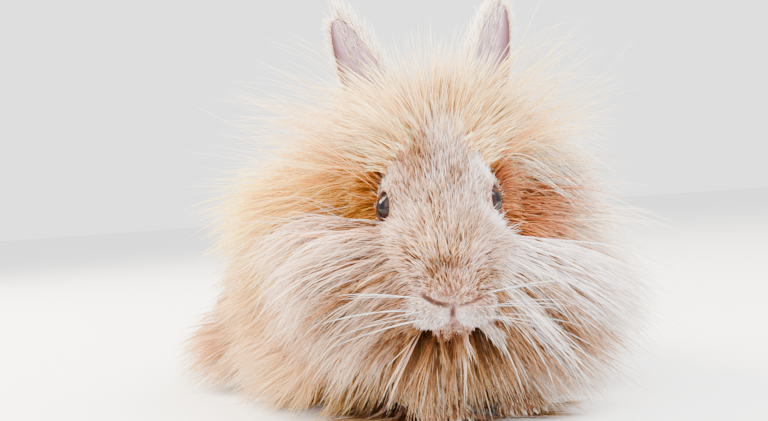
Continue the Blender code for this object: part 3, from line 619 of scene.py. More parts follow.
def build_skin():
    axes = []
    for middle, (low, high, first, last, coarse) in zip(HEAD.origin, GRID):
        axes.append(spaced(low, high, middle + first, middle + last, FINE_CELL, coarse))
    field = np.maximum(skin_field(axes), SOLE_HEIGHT - axes[2])
    points, quads = surface_net(axes, field)
    skin = mesh_object("skin", points, quads)
    paint(skin, skin_colours(points))
    flesh = ["head", "neck", "torso", "tail"]
    flesh += [leg + word for leg in ("foreleg_", "hindleg_") for word in SIDES]
    made = mottled("skin", 0.7, 900, 3, (0.72, 0.70, 0.68, 1), 0.0004)
    dress(skin, made, "coat", *flesh)
    return points, quads


SKIN_POINTS, SKIN_QUADS = build_skin()


# The coat


def along_a_curve(points, cell=1.5, bits=9):
    """An order of the points in which neighbours in the list are neighbours in space."""
    steps = ((points - points.min(0)) / cell).astype(np.int64)
    code = np.zeros(len(points), np.int64)
    for bit in range(bits):
        for axis in range(3):
            code |= ((steps[:, axis] >> bit) & 1) << (3 * bit + axis)
    return np.argsort(code, kind="stable")


class Scatter:
    """Draws roots evenly on the skin, as many on each patch as its area and its weight call for."""

    def __init__(self, points, quads):
        corners = points[triangles_of(quads)]
        edges = corners[:, 1:] - corners[:, :1]
        cross = np.cross(edges[:, 0], edges[:, 1])
        size = np.linalg.norm(cross, axis=1)
        order = along_a_curve(corners.mean(1))
        self.corners = corners[order]
        self.area = size[order] / 2
        self.middles = self.corners.mean(1)
        self.normals = (cross / np.maximum(size, 1e-9)[:, None])[order]

    def draw(self, place, count, weight):
        """Roots, the flesh's normals there, and the roots in the place's frame."""
        share = np.cumsum(self.area * weight)
        steps = (np.arange(count) + dice.random(count)) / count * share[-1]
        chosen = np.minimum(np.searchsorted(share, steps), len(share) - 1)
        a, b = np.sqrt(dice.random(count)), dice.random(count)
        mix = np.stack((1 - a, a * (1 - b), a * b), -1)
        roots = (self.corners[chosen] * mix[..., None]).sum(1)
        return roots, flesh_normal(roots), place.into(roots)


def within(values, low, high, soft=2.0):
    """1 between the limits and 0 well outside them."""
    rise = np.clip((values - low) / soft + 0.5, 0, 1)
    fall = np.clip((high - values) / soft + 0.5, 0, 1)
    return rise * fall


def ramp(values, low, high):
    """0 up to low, 1 from high on, and smooth between them."""
    share = np.clip((values - low) / (high - low), 0, 1)
    return share * share * (3 - 2 * share)


def behind_hairline(local):
    """How far places in the head's frame lie behind the line where the long hair starts."""
    heights = (-50, -33, -20, -10, -2, 10, 20, 30)
    backs = (-24, -29, -23, -11, 8, 8, 2, -2)
    return local[:, 1] - np.interp(local[:, 2], heights, backs)


SKIN = Scatter(SKIN_POINTS, SKIN_QUADS)
HEAD_SPOTS = HEAD.into(SKIN.middles)
HEAD_DEPTH = behind_hairline(HEAD_SPOTS)
BODY_SPOTS = BODY.into(SKIN.middles)
LOWEST_HAIR = 0.8
BOX_ROOM = 7
BAKE_PATCH = 0.003
PIECE_TRIANGLES = 180_000

# How far hair stays from an eye's lines of sight, and how long these lines are
EYE_ROOM = 8.5
SIGHT = 40


def leaves_eyes_free(curves, room, ahead):
    """True for strands that leave the eyes free, seen along their look, from the side and in front."""
    kept = np.ones(len(curves), bool)
    forward = HEAD.turned((0, -1, 0))
    for side, eye in EYES.items():
        look = eye.axes[:, 2]
        # Each line: its direction, where it starts, its width there and further on, its length
        lines = (
            (look, 4, 0.9, 0, min(ahead, 20)),
            (unit((side, -0.05, 0.08)), 5, 0.85, 0.15, ahead),
            (unit(forward + 0.25 * look), 5.5, 0.72, 0, ahead),
            (forward, 7, 0.5, 0, ahead),
        )
        for line, rise, part, widening, far in lines:
            offset = curves - eye.out((0, 0, rise))
            along = offset @ line
            away = np.linalg.norm(offset - along[..., None] * line, axis=-1)
            kept &= ~((along > -2) & (along < far) & (away < room * part + widening * along)).any(1)
    return kept


def swirl(points, reach, strength, layers=3):
    """Smooth random directions, alike on places that lie closer than the reach."""
    total = np.zeros(points.shape)
    for _ in range(layers):
        waves = dice.normal(size=(3, 3)) * 2.2 / reach
        total += np.sin(points @ waves + dice.random(3) * math.tau)
    return total * strength / 1.8


def astray(local, reach, strength, own):
    """Small turns of the hair: a swirl that neighbours share, and each strand's own."""
    return swirl(local, reach, strength) + dice.normal(size=local.shape) * own


def flattened(directions, normals):
    """The directions laid flat on the skin."""
    return unit(directions - normals * (directions * normals).sum(-1, keepdims=True))


def bent(roots, start, end, length, stations, late=1.0):
    """Curves that leave their roots towards start and turn to end, later for a higher late."""
    share = np.linspace(0, 1, stations)[None, :, None]
    start, end = unit(start)[:, None], unit(end)[:, None]
    turned = share ** (late + 1) / (late + 1)
    reach = start * (share - turned) + end * turned
    return roots[:, None] + reach * np.asarray(length)[:, None, None]


def combed(roots, heading, length, lift, stations):
    """Curves that follow the flesh along the heading and rise to the lift at their tips."""
    base = roots.copy()
    curves = [roots]
    step = length / (stations - 1)
    for i in range(1, stations):
        heading = flattened(unit(heading), flesh_normal(base))
        base = base + heading * step[:, None]
        normal = flesh_normal(base)
        base = base - normal * flesh_distance(base)[:, None]
        height = lift * (0.15 + 0.85 * i / (stations - 1))
        curves.append(base + normal * height[:, None])
    return np.stack(curves, 1)


def kept_off_flesh(curves, rise):
    """Pushes the stations out of the flesh, a little further towards the tips."""
    count = curves.shape[1]
    for i in range(1, count):
        points = curves[:, i]
        lack = rise * i / (count - 1) - flesh_distance(points)
        low = lack > 0
        if low.any():
            curves[low, i] += flesh_normal(points[low]) * lack[low, None]
    return curves


def arched(place, roots, start, end, length, stations, late=1.0, rise=0):
    """Bent curves from directions in the place's frame, kept off the flesh where a rise is given."""
    curves = bent(roots, place.turned(start), place.turned(end), length, stations, late)
    return kept_off_flesh(curves, rise) if rise else curves


def kept_in_box(curves):
    """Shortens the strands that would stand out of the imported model's box by more than the room."""
    low, high = np.array(CAD_LOW) / MM - BOX_ROOM, np.array(CAD_HIGH) / MM + BOX_ROOM
    root = curves[:, :1]
    reach = curves - root
    limit = np.where(reach > 0, high, low) - root
    moved = np.abs(reach) > 1e-6
    share = np.where(moved, limit / np.where(moved, reach, 1), 1)
    share[..., 2] = np.where(reach[..., 2] < 0, 1, share[..., 2])
    return root + reach * np.clip(share.min((1, 2)), 0.2, 1)[:, None, None]


def wisps(guides, normals, children, spread, stations=6, gather=0.6, stray=0.05):
    """Strands round each guide: apart at the root, drawn together, and a few of them astray."""
    count, total, _ = guides.shape
    many = np.repeat(np.arange(count), children)
    across = unit(np.cross(normals, guides[:, 1] - guides[:, 0]))[many]
    upward = np.cross(normals[many], across)
    around = dice.random(len(many)) * math.tau
    out = np.sqrt(dice.random(len(many))) * spread
    offset = across * (np.cos(around) * out)[:, None] + upward * (np.sin(around) * out)[:, None]
    reach = dice.uniform(0.74, 1.0, len(many))
    share = np.linspace(0, 1, stations)
    where = share[None] * reach[:, None] * (total - 1)
    low = np.minimum(where.astype(int), total - 2)
    part = (where - low)[..., None]
    rows = many[:, None]
    curves = guides[rows, low] * (1 - part) + guides[rows, low + 1] * part
    drawn = gather * dice.uniform(0.3, 1.2, count)[many]
    curves += offset[:, None] * (1 - drawn[:, None] * share[None])[..., None]
    size = np.linalg.norm(guides[:, -1] - guides[:, 0], axis=1)[many]
    loose = np.where(dice.random(len(many)) < 0.12, 2.4, 1.0)
    drift = dice.normal(size=(len(many), 3)) * (stray * size * loose)[:, None]
    curves += drift[:, None] * (share**1.6)[None, :, None]
    # Two ripples: one of each strand's own, and a wider one of the whole wisp
    for number, owner, part in ((len(many), np.arange(len(many)), 0.014), (count, many, 0.026)):
        wave = dice.random((number, 1)) * math.tau
        turns = dice.uniform(3, 8, (number, 1))
        ripple = ((np.sin(wave + share[None] * turns) - np.sin(wave)) * share[None])[owner]
        lean = dice.random(number)[owner] * math.tau
        aside = across * np.cos(lean)[:, None] + upward * np.sin(lean)[:, None]
        curves += aside[:, None] * (ripple * (part * size)[:, None])[..., None]
    return curves, many


def unwrapped(roots):
    """The roots' places on the skin, unrolled round the body's long axis."""
    local = BODY.into(roots)
    angle = np.arctan2(local[:, 0], local[:, 2] - 60) / math.tau + 0.5
    along = np.clip((local[:, 1] + 140) / 300, 0, 1)
    return np.stack((0.02 + 0.95 * angle, 0.02 + 0.95 * along), -1)


def strand_faces(stations):
    """Triangles of a closed three-sided strand: a cap, the sides and a point."""
    sides = triangles_of(ring_quads(stations - 1, 3))
    last = 3 * (stations - 2)
    point = [(last + k, last + (k + 1) % 3, last + 3) for k in range(3)]
    return np.concatenate(([(0, 2, 1)], sides, point))


def add_strands(name, slot, curves, widths, shades, fade, tint):
    """A piece of closed strands. The shades are those of root, middle and tip, for each strand."""
    curves = curves.copy()
    curves[..., 2] = np.maximum(curves[..., 2], LOWEST_HAIR)
    count, stations, _ = curves.shape
    share = np.linspace(0, 1, stations)
    along = unit(np.gradient(curves, axis=1))
    side = unit(np.cross(along, dice.normal(size=(count, 1, 3))))
    up = np.cross(along, side)
    taper = np.sqrt(np.clip(1 - share**1.8, 0, 1)) * (0.75 + 0.25 * np.minimum(share * 6, 1))
    radius = (widths[:, None] / 2 * taper[None])[..., None]
    turns = np.arange(3) * math.tau / 3
    rings = [curves + (side * math.cos(t) + up * math.sin(t)) * radius for t in turns]
    rings = np.stack(rings, 2)[:, :-1].reshape(count, -1, 3)
    points = np.concatenate((rings, curves[:, -1:]), 1)
    firsts = (np.arange(count) * points.shape[1])[:, None, None]
    faces = (strand_faces(stations)[None] + firsts).reshape(-1, 3)
    obj = mesh_object(name, points.reshape(-1, 3), faces)

    height = np.append(np.repeat(share[:-1], 3), 1)
    mix = height[None, :, None] ** fade
    first, second = np.clip(mix * 2, 0, 1), np.clip(mix * 2 - 1, 0, 1)
    root, middle, tip = shades[:, :, None]
    colours = (root * (1 - first) + middle * first) * (1 - second) + tip * second
    light = 1 + dice.normal(size=(count, 1, 1)) * tint
    warmth = 1 + dice.normal(size=(count, 1, 1)) * tint * np.array((0.15, 0, -0.6))
    paint(obj, (colours * light * warmth).reshape(-1, 3))

    spots = np.stack((np.append(np.tile((0, 0.5, 1), stations - 1), 0.5), height), -1) * BAKE_PATCH
    spots = (unwrapped(curves[:, 0])[:, None] + spots[None]).reshape(-1, 2)
    layer = obj.data.uv_layers.new(name="OFBake")
    layer.data.foreach_set("uv", spots[faces.ravel()].astype(np.float32).ravel())
    dress(obj, FUR, slot)


def add_coat(name, slot, curves, widths, shades, fade=1.0, tint=0.05):
    """The strands, in as many pieces as their number of triangles calls for."""
    curves = kept_in_box(curves)
    parts = math.ceil(len(curves) * len(strand_faces(curves.shape[1])) / PIECE_TRIANGLES)
    order = dice.permutation(len(curves))
    for i, some in enumerate(np.array_split(order, parts)):
        piece = f"{name}_{i + 1}" if parts > 1 else name
        add_strands(piece, slot, curves[some], widths[some], shades[:, some], fade, tint)


def picked(shades, other, chance, strength=0.8):
    """Gives a random few of the strands the other shades."""
    return mixed(shades, other, (dice.random(shades.shape[1]) < chance) * strength)


def grow(
    name, slot, guides, normals, shades, children, spread, widths,
    stations=6, gather=0.6, eyes=EYE_ROOM, fade=1.0,
):
    """Wisps round the guides, without those that would hide an eye."""
    strands, many = wisps(guides, normals, children, spread, stations, gather)
    if eyes:
        kept = leaves_eyes_free(strands, eyes, SIGHT)
        strands, many = strands[kept], many[kept]
    add_coat(name, slot, strands, dice.uniform(*widths, len(strands)), shades[:, many], fade)


def shades_from(root, middle, tip):
    return np.array((root, middle, tip), float)[:, None]


def even(shades, count):
    """The same shades for each strand."""
    return np.repeat(shades, count, 1)


# Rust hair darkened with painted shade in the hollow behind the left eye
HOLLOW_LEFT_RUST_AND_PAINTED_SHADE = shades_from((74, 28, 8), (132, 58, 20), (188, 112, 54))
# Rust hair darkened with painted shade deep in the hollow behind the right eye, close to the eye
HOLLOW_DEEP_RUST_AND_PAINTED_SHADE = shades_from((72, 28, 4), (130, 62, 9), (182, 108, 26))
# Painted glow: golden hair behind the right eye, brightened as if lit through from behind
HOLLOW_RIGHT_PAINTED_GLOW = shades_from((120, 48, 4), (240, 152, 20), (252, 206, 76))
MANE_LEFT = shades_from((206, 124, 66), (250, 206, 166), (255, 240, 226))
# Golden hair of the mane's right side, with a painted warm glow of light from behind
MANE_RIGHT_GOLD_AND_PAINTED_GLOW = shades_from((196, 104, 22), (255, 188, 72), (255, 226, 144))
CROWN = shades_from((173, 90, 32), (248, 182, 104), (255, 220, 164))
CHEEK_LEFT = shades_from((216, 176, 162), (248, 226, 222), (255, 244, 240))
CHEEK_RIGHT = shades_from((167, 112, 86), (218, 175, 156), (238, 207, 184))
# Brown streak hair, also used as painted shade low under the cheeks
STREAK_AND_PAINTED_SHADE = shades_from((66, 31, 13), (92, 49, 23), (139, 93, 59))
# Dark brown hair under the chin, darkened further as painted shade
BEARD_AND_PAINTED_SHADE = shades_from((57, 27, 12), (91, 52, 25), (144, 102, 69))
FACE_FAWN = shades_from((68, 34, 18), (92, 52, 31), (128, 86, 62))
FACE_PALE = shades_from((149, 100, 83), (196, 158, 149), (231, 214, 216))
FACE_RUSSET = shades_from((64, 29, 15), (92, 47, 25), (129, 82, 52))
RUFF_LEFT = shades_from((196, 140, 98), (246, 214, 188), (255, 238, 226))
# Orange ruff of the right side, darkened in part as painted shade where it hangs low
RUFF_RIGHT = shades_from((138, 76, 28), (194, 130, 64), (216, 166, 104))
BODY_TOP = shades_from((182, 136, 97), (205, 162, 123), (225, 195, 166))
# Fawn of the lower body and flanks, darkened as painted shade
BODY_LOW_FAWN_AND_PAINTED_SHADE = shades_from((150, 96, 54), (176, 120, 72), (204, 156, 108))
TAIL = shades_from((226, 190, 160), (244, 222, 202), (253, 240, 228))
EAR_DOWN = shades_from((200, 155, 113), (231, 196, 157), (242, 223, 200))
WHISKER = shades_from((246, 246, 246), (246, 246, 246), (246, 246, 246))

# The least and the greatest width of a strand
FINE = (0.34, 0.6)
COARSE = (0.45, 0.75)

# The nose's tip in the head's frame, which the short coat lies away from
NOSE = (0, -44, -36)


# The head's hair. Each kind has a number of guides, and of strands round each of them


def face_coat(guides, children, shortest=3, longest=9):
    """Short tufts that lie back from the nose over the muzzle, cheeks and brow."""
    _, y, z = HEAD_SPOTS.T
    weight = within(HEAD_DEPTH, -80, 5, 8) * within(z, -49, 60, 3) * (1 + 1.2 * (y < -6))
    weight *= eye_distance(SKIN.middles) > LID_WIDTH
    roots, normals, local = SKIN.draw(HEAD, guides, weight)
    x, _, z = local.T
    depth, near = behind_hairline(local), eye_distance(roots)
    from_nose = local - NOSE
    below = ramp(-z, 35, 41)
    upward = 1.1 * from_nose[:, 2] + 9 * (1 - below) - 5 * below
    lie = stacked(from_nose[:, 0] * 1.1, 12 + 0.4 * from_nose[:, 1], upward)
    lie[:, 0] += np.sign(x) * 40 * below * np.exp(-((x / 3) ** 2))
    lie[:, 2] -= 26 * ramp(-z, 4, 16) * ramp(np.abs(x), 6, 14)
    lie += unit(local * (1, 0, 1)) * (16 * ramp(depth, -18, 0))[:, None]
    lie = HEAD.turned(lie + astray(local, 9, 6, 3))
    for eye in EYES.values():
        outward = roots - eye.origin
        outward -= (outward @ eye.axes[:, 2])[:, None] * eye.axes[:, 2]
        close = np.linalg.norm(outward, axis=1) < 16
        lie += unit(outward) * (30 * close * np.clip(1 - near / 7, 0, 1))[:, None]
    bridge = np.exp(-(((local - (0, -22, -16)) / (14, 22, 14)) ** 2).sum(-1))
    away = np.linalg.norm(from_nose, axis=1)
    length = np.clip(shortest + away * 0.13, shortest, longest)
    length += 10 * ramp(depth, -16, 4) + 2 * bridge
    length = np.minimum(length, 1.6 + np.maximum(near - LID_WIDTH, 0) * 0.7)
    length = np.minimum(length, 1.3 + np.maximum(slit_distance(roots), 0) * 0.6)
    length *= dice.uniform(0.75, 1.2, guides)
    heading = flattened(lie, normals)
    raised = 0.5 * ramp(depth, -16, 2) + 0.3 * bridge - 0.25 * (near < 7)
    start = heading + normals * (raised + dice.uniform(0.3, 0.6, guides))[:, None]
    end = heading + normals * (raised + dice.uniform(-0.05, 0.25, guides))[:, None]
    tufts = bent(roots, start, end, length, 4)
    curves, many = wisps(tufts, normals, children, 1.1, stations=3, gather=0.7, stray=0.1)
    kept = leaves_eyes_free(curves, OPEN_EYE - 0.8, 16) & (slit_distance(curves[:, 0]) > 0.3)
    curves, many = curves[kept], many[kept]
    local = local[many]
    patches = np.clip(swirl(local, 7, 0.9)[:, 0] + 0.25, 0, 1)
    pale = (dice.random(guides) < 0.22)[many]
    shades = mixed(mixed(FACE_FAWN, FACE_PALE, patches * 0.6), FACE_PALE, pale * 0.6)
    shades = picked(picked(shades, FACE_RUSSET, 0.16), FACE_PALE, 0.1)
    widths = dice.uniform(0.36, 0.6, len(curves))
    add_coat("face_fur", "mane", curves, widths, spotted(local, shades), tint=0.06)


def mane(guides, children, by_eye=17, longest=90, less_on_top=54):
    """Hair that stands out round the face from the ears to the jaw, short by the eyes."""
    x, y, z = HEAD_SPOTS.T
    weight = within(HEAD_DEPTH, 0, 60, 3) * within(y, -10, 42, 6) * (z > -14)
    weight *= ~((z > 15) & (np.abs(x) < 13) & (y < 20))
    weight *= eye_distance(SKIN.middles) > LID_WIDTH + 1
    weight *= (z > -6) | (HEAD_DEPTH > 9)
    roots, normals, local = SKIN.draw(HEAD, guides, weight)
    x, _, z = local.T
    depth, left = behind_hairline(local), x > 0
    spread = unit(stacked(x, 0, z + 4))
    high = np.maximum(spread[:, 2], 0)
    back = ramp(depth, 4, 30)
    start = spread + stacked(0, 0.25 + (0.45 + 0.5 * high) * back, 0.35)
    sideways = np.where(left, 0.6, -0.4) * high
    droop = np.where(left & (dice.random(guides) < 0.6), -0.95, -0.7)
    end = spread * 0.9 + stacked(sideways, 0.4 + (0.4 + 0.9 * high) * back, droop + 0.45 * high)
    flow = astray(local, 12, 0.32, 0.13)
    inner = 1 - ramp(depth, np.where(left, 8, 5), np.where(left, 17, 13))
    full = longest - less_on_top * high**2
    length = (by_eye + 6 * dice.random(guides)) * inner
    length += full * (1 - inner) * dice.uniform(0.72, 1.06, guides)
    curves = arched(HEAD, roots, start + flow * 0.5, end + flow, length, 8, rise=5)
    side = ramp(x, -10, 10)
    # Hair in the hollow behind each eye: rust, with painted shade deep in it and on the left, and a
    # painted glow further out on the right
    hollow = mixed(mixed(HOLLOW_RIGHT_PAINTED_GLOW, HOLLOW_DEEP_RUST_AND_PAINTED_SHADE, 0.85 * inner), HOLLOW_LEFT_RUST_AND_PAINTED_SHADE, side)
    beside = within(z, -18, 17, 8) * (1 - ramp(depth, 22, 36))
    corner = within(z, 12, 44, 10) * (1 - ramp(depth, 12, 26))
    strength = stacked(1, 0.9, np.where(left, 0.3, 0.45)).T
    shades = mixed(mixed(MANE_RIGHT_GOLD_AND_PAINTED_GLOW, MANE_LEFT, side), hollow, beside * strength)
    shades = mixed(shades, hollow, inner * (1 - 0.5 * high))
    strength = stacked(0.9, np.where(left, 0.7, 0.5), np.where(left, 0.4, 0)).T
    shades = mixed(shades, hollow, corner * strength)
    shades = picked(shades, CROWN, 0.25 * (1 - np.maximum(beside, inner)))
    grow("mane", "mane", curves, normals, shades, children, 1.7, (0.36, 0.66), fade=1.05)


def curtain(guides, children, lengths=(62, 108)):
    """Long strands that arch from the base of the left ear over the hollow behind the eye."""
    x, y, z = HEAD_SPOTS.T
    weight = within(x, 13, 30, 3) * within(y, 15, 34, 4) * within(z, 15, 40, 3)
    roots, normals, local = SKIN.draw(HEAD, guides, weight)
    flow = astray(local, 12, 0.2, 0.11)
    start, end = flow + (1, 0.25, 0.4), flow + (0.62, 0.7, -1)
    length = dice.uniform(*lengths, guides)
    curves = arched(HEAD, roots, start, end, length, 9, late=0.6, rise=10)
    shades = picked(even(MANE_LEFT, guides), CROWN, 0.25)
    shades[0] = mixed(shades[0], shades[1], 0.5)
    grow("curtain", "mane", curves, normals, shades, children, 1.6, FINE, fade=0.7)


def cheek_hair(guides, children, by_face=9, longest=80):
    """Long hair that flows from the muzzle's sides and the cheeks outward, then falls."""
    x, y, z = HEAD_SPOTS.T
    top = np.where(x > 0, -13, -8)
    weight = within(HEAD_DEPTH, -2, 30, 4) * within(z, -50, top, 4) * (y < 20)
    weight *= within(np.abs(x), 9, 99, 4)
    roots, normals, local = SKIN.draw(HEAD, guides, weight)
    x, _, z = local.T
    depth, left, side = behind_hairline(local), x > 0, np.sign(x)
    lower = np.clip((-z - 12) / 32, 0, 1)
    start = stacked(side, 0.12, np.where(left, -0.16, 0.26) - 0.75 * lower)
    outward = np.where(left, 0.62 + 0.1 * lower, 0.4)
    end = stacked(side * outward, 0.65 - 0.25 * lower, -1)
    flow = astray(local, 11, 0.2, 0.09)
    full = longest - np.where(left, 10, 24) * lower
    length = by_face + (full - by_face) * ramp(depth, -4, 12)
    length *= dice.uniform(0.68, 1.06, guides)
    curves = arched(HEAD, roots, start + flow * 0.6, end + flow, length, 8, late=1.5, rise=4)
    near_face = (1 - ramp(depth, -2, 8)) * np.where(left, 0.3, 0.6)
    shades = mixed(mixed(CHEEK_RIGHT, CHEEK_LEFT, ramp(x, -12, 12)), FACE_FAWN, near_face)
    clumps = np.clip(1.2 * swirl(local, 7, 1)[:, 0] + np.where(left, 0.45, 0.75), 0, 1)
    patches = ramp(-z, np.where(left, 16, 12), np.where(left, 30, 26)) * clumps
    shades = picked(shades, STREAK_AND_PAINTED_SHADE, 0.1 + 0.8 * patches, 0.9)
    # Darker towards the bottom: brown streaks and painted shade under the cheeks
    shades = mixed(shades, STREAK_AND_PAINTED_SHADE, lower * np.where(left, 0.15, 0.45))
    grow("cheek_hair", "mane", curves, normals, shades, children, 1.5, FINE, fade=0.85)


def crown(guides, children, by_brow=10, longest=46):
    """Hair between the ears that rises from the brow and fans out."""
    x, y, z = HEAD_SPOTS.T
    weight = within(HEAD_DEPTH, -4, 34, 6) * (z > 14) * (np.abs(x) < 19) * (y < 22)
    roots, normals, local = SKIN.draw(HEAD, guides, weight)
    x, depth = local[:, 0], behind_hairline(local)
    start = stacked(x / 16, -0.25, 0.9)
    end = stacked(x / 16 * 1.6, 0.35, 0.62)
    flow = astray(local, 10, 0.26, 0.12)
    length = by_brow + (longest - by_brow) * ramp(depth, -6, 12)
    length *= dice.uniform(0.65, 1.15, guides)
    length *= 1 - 0.25 * np.minimum(np.abs(x) / 18, 1) ** 2
    length *= np.where(dice.random(guides) < 0.06, 1.4, 1)
    curves = arched(HEAD, roots, start + flow * 0.6, end + flow, length, 8, rise=3)
    pale = 0.7 * np.exp(-((x / 5) ** 2)) * (1 - ramp(depth, -2, 8))
    shades = mixed(CROWN, FACE_PALE, pale)
    grow("crown_hair", "mane", curves, normals, shades, children, 1.5, FINE, eyes=7, fade=0.8)


def stray_wisps(guides, children, lengths=(62, 92)):
    """Loose long hair that flies off the mane beside the ears."""
    x, y, z = HEAD_SPOTS.T
    weight = within(y, 6, 30, 4) * within(z, 8, 40, 4) * (np.abs(x) > 8)
    roots, normals, local = SKIN.draw(HEAD, guides, weight)
    side = np.sign(local[:, 0])
    start = stacked(side * 0.8, 0.2, 0.6) + dice.normal(size=(guides, 3)) * 0.3
    end = stacked(side, 0.3, 0.05) + dice.normal(size=(guides, 3)) * 0.35
    length = dice.uniform(*lengths, guides)
    curves = arched(HEAD, roots, start, end, length, 8, rise=6)
    grow("stray_wisps", "mane", curves, normals, even(CROWN, guides), children, 2.4, (0.26, 0.4))


def beard(guides, children, at_lip=14, longest=48):
    """Hair that hangs from the chin and the throat."""
    x, y, z = HEAD_SPOTS.T
    weight = within(y, -38, 44, 4) * (z < -36) * (np.abs(x) < 26) * ((y > -20) | (z < -46))
    weight *= (SKIN.normals @ HEAD.axes)[:, 2] < 0.1
    roots, normals, local = SKIN.draw(HEAD, guides, weight)
    aside = local[:, 0] / 12
    flow = astray(local, 8, 0.18, 0.08)
    start = stacked(aside * 0.6, -0.3, -1) + flow
    end = stacked(aside * 0.4, 0.15, -1) + flow
    length = at_lip + (longest - at_lip) * ramp(local[:, 1], -30, -14)
    length *= dice.uniform(0.75, 1.05, guides)
    curves = arched(HEAD, roots, start, end, length, 7)
    shades = picked(even(BEARD_AND_PAINTED_SHADE, guides), CHEEK_RIGHT, 0.12)
    grow("beard", "mane", curves, normals, shades, children, 1.5, FINE, stations=5, fade=0.9)


# The hair of the neck, the body and the legs


def ruff(guides, children, full=66):
    """Hair that stands out round the neck behind the mane, and hangs in front of the chest."""
    x, y, z = THROAT.into(SKIN.middles).T
    back = y - 0.3 * np.hypot(x, z + 8)
    weight = within(back, HEAD_DISH - 16, HEAD_DISH + 24, 5) * (y > 22)
    weight *= SKIN.middles[:, 2] > 12
    roots, normals, local = SKIN.draw(THROAT, guides, weight)
    x, _, z = local.T
    spread = unit(stacked(x, 0, z + 8))
    high, low = np.maximum(spread[:, 2], 0), np.maximum(-spread[:, 2], 0)
    start = spread + stacked(0, 0.2 + 0.3 * high, 0.3)
    end = spread * 0.9 + stacked(0, 0.35 + 0.8 * high, -0.75 + 0.4 * high + 0.3 * low)
    flow = astray(local, 16, 0.3, 0.14)
    aside = np.abs(spread[:, 0]) * np.where(x > 0, 1.55, 0.72)
    length = full * dice.uniform(0.72, 1.06, guides) * (0.62 + 0.4 * aside)
    curves = arched(THROAT, roots, start + flow * 0.5, end + flow, length, 8, rise=5)
    shades = mixed(RUFF_RIGHT, RUFF_LEFT, ramp(x, -30, 20))
    grow("ruff", "mane", curves, normals, shades, children, 1.9, (0.44, 0.8), stations=5, fade=0.75)


def body_coat(guides, children, longest=36):
    """Hair combed back and down over the trunk and the thighs."""
    _, y, z = BODY_SPOTS.T
    weight = within(y, np.where(z > 72, -74, -44), 134, 6) * (z > 12)
    roots, normals, local = SKIN.draw(BODY, guides, weight)
    _, y, z = local.T
    rump = np.clip((y - 88) / 30, 0, 1)
    fall = 0.3 + 0.8 * np.abs(normals[:, 0]) + 0.8 * rump
    heading = stacked(normals[:, 0] * (0.3 + 0.3 * rump), 1 - 0.6 * rump, -fall)
    heading += astray(local, 30, 0.3, 0.1)
    length = (longest - 8 * rump) * dice.uniform(0.72, 1.08, guides)
    curves = combed(roots, heading, length, dice.uniform(6, 11, guides), 7)
    # Darker towards the bottom: painted shade on the lower body
    shades = mixed(BODY_TOP, BODY_LOW_FAWN_AND_PAINTED_SHADE, np.clip(1 - z / 90, 0, 1))
    more = {"stations": 5, "gather": 0.35, "eyes": 0, "fade": 0.6}
    grow("body_coat", "coat", curves, normals, shades, children, 3.4, (0.6, 1.0), **more)


def skirt(guides, children, shoulder=(38, 70), thigh=(40, 68)):
    """Long hair that hangs from the shoulders, flanks and thighs to the floor."""
    x, y, z = BODY_SPOTS.T
    weight = within(y, -58, 104, 6) * within(z, 14, 58, 5)
    weight *= np.abs(x) > np.where(y < 10, 34, 46)
    roots, normals, local = SKIN.draw(BODY, guides, weight)
    x, y, z = local.T
    left, side = x > 0, np.sign(x)
    front = 1 - ramp(y, -10, 14)
    low = ramp(-z, -48, -22)
    flare = 0.45 + np.where(left, 1.3 * front, 1.2 * low)
    start = stacked(side * flare, 0.35 - 0.4 * front, 0.3 * flare - 0.3)
    end = stacked(side * 0.45 * flare, 0.4 - 0.4 * front, -0.85)
    flow = astray(local, 20, 0.25, 0.1)
    length = np.where(left, np.interp(front, (0, 1), shoulder), np.interp(low, (0, 1), thigh))
    length *= dice.uniform(0.75, 1.05, guides)
    curves = arched(BODY, roots, start + flow, end + flow, length, 8, rise=5)
    # Fawn with painted shade, as on the lower body
    shades = even(BODY_LOW_FAWN_AND_PAINTED_SHADE, guides)
    more = {"stations": 5, "eyes": 0, "fade": 0.8}
    grow("skirt", "coat", curves, normals, shades, children, 2.2, (0.45, 0.8), **more)


def leg_coat(count, on_toes=6, longest=8):
    """Short hairs on the legs and feet and under the trunk."""
    z = BODY_SPOTS[:, 2]
    weight = (within(z, 1.5, 18, 3) + 0.2) * (z > 1.2) * (z < 32)
    roots, normals, local = SKIN.draw(BODY, count, weight)
    y = local[:, 1]
    heading = stacked(normals[:, 0] * 0.2, np.where(y < 0, -0.8, -0.5), -0.5)
    heading = flattened(heading + dice.normal(size=heading.shape) * 0.15, normals)
    length = np.where(y < -60, on_toes, longest) * dice.uniform(0.7, 1.2, count)
    curves = bent(roots, heading + normals * 0.5, heading + (0, 0, -0.2), length, 3)
    add_coat("leg_fur", "coat", curves, dice.uniform(*COARSE, count), even(BODY_TOP, count))


def tail_coat(guides, children, lengths=(11, 17)):
    """Fluffy hair that stands out from the short, upturned tail."""
    x, y, z = BODY_SPOTS.T
    weight = within(y, 128, 160, 5) * within(z, 28, 76, 4) * (np.abs(x) < 14)
    roots, normals, _ = SKIN.draw(BODY, guides, weight)
    length = dice.uniform(*lengths, guides)
    curves = bent(roots, normals + (0, 0, 0.3), normals * 0.6 + (0, 0, 1), length, 6)
    shades = even(TAIL, guides)
    grow("tail_fur", "tail_fur", curves, normals, shades, children, 2.0, COARSE, stations=5, eyes=0)


face_coat(4100, 4)
mane(1400, 6)
curtain(340, 6)
cheek_hair(1100, 6)
crown(460, 6)
stray_wisps(110, 5)
beard(560, 6)
ruff(1080, 6)
body_coat(2100, 5)
skirt(800, 6)
leg_coat(8500)
tail_coat(300, 6)


# Eyes

PUPIL_BLACK = (8, 7, 11)
IRIS_INNER = (44, 26, 27)
IRIS_OUTER = (24, 14, 17)
EYE_RIM = (16, 10, 14)
PUPIL_RADIUS = 3.2
IRIS_RADIUS = 5.2


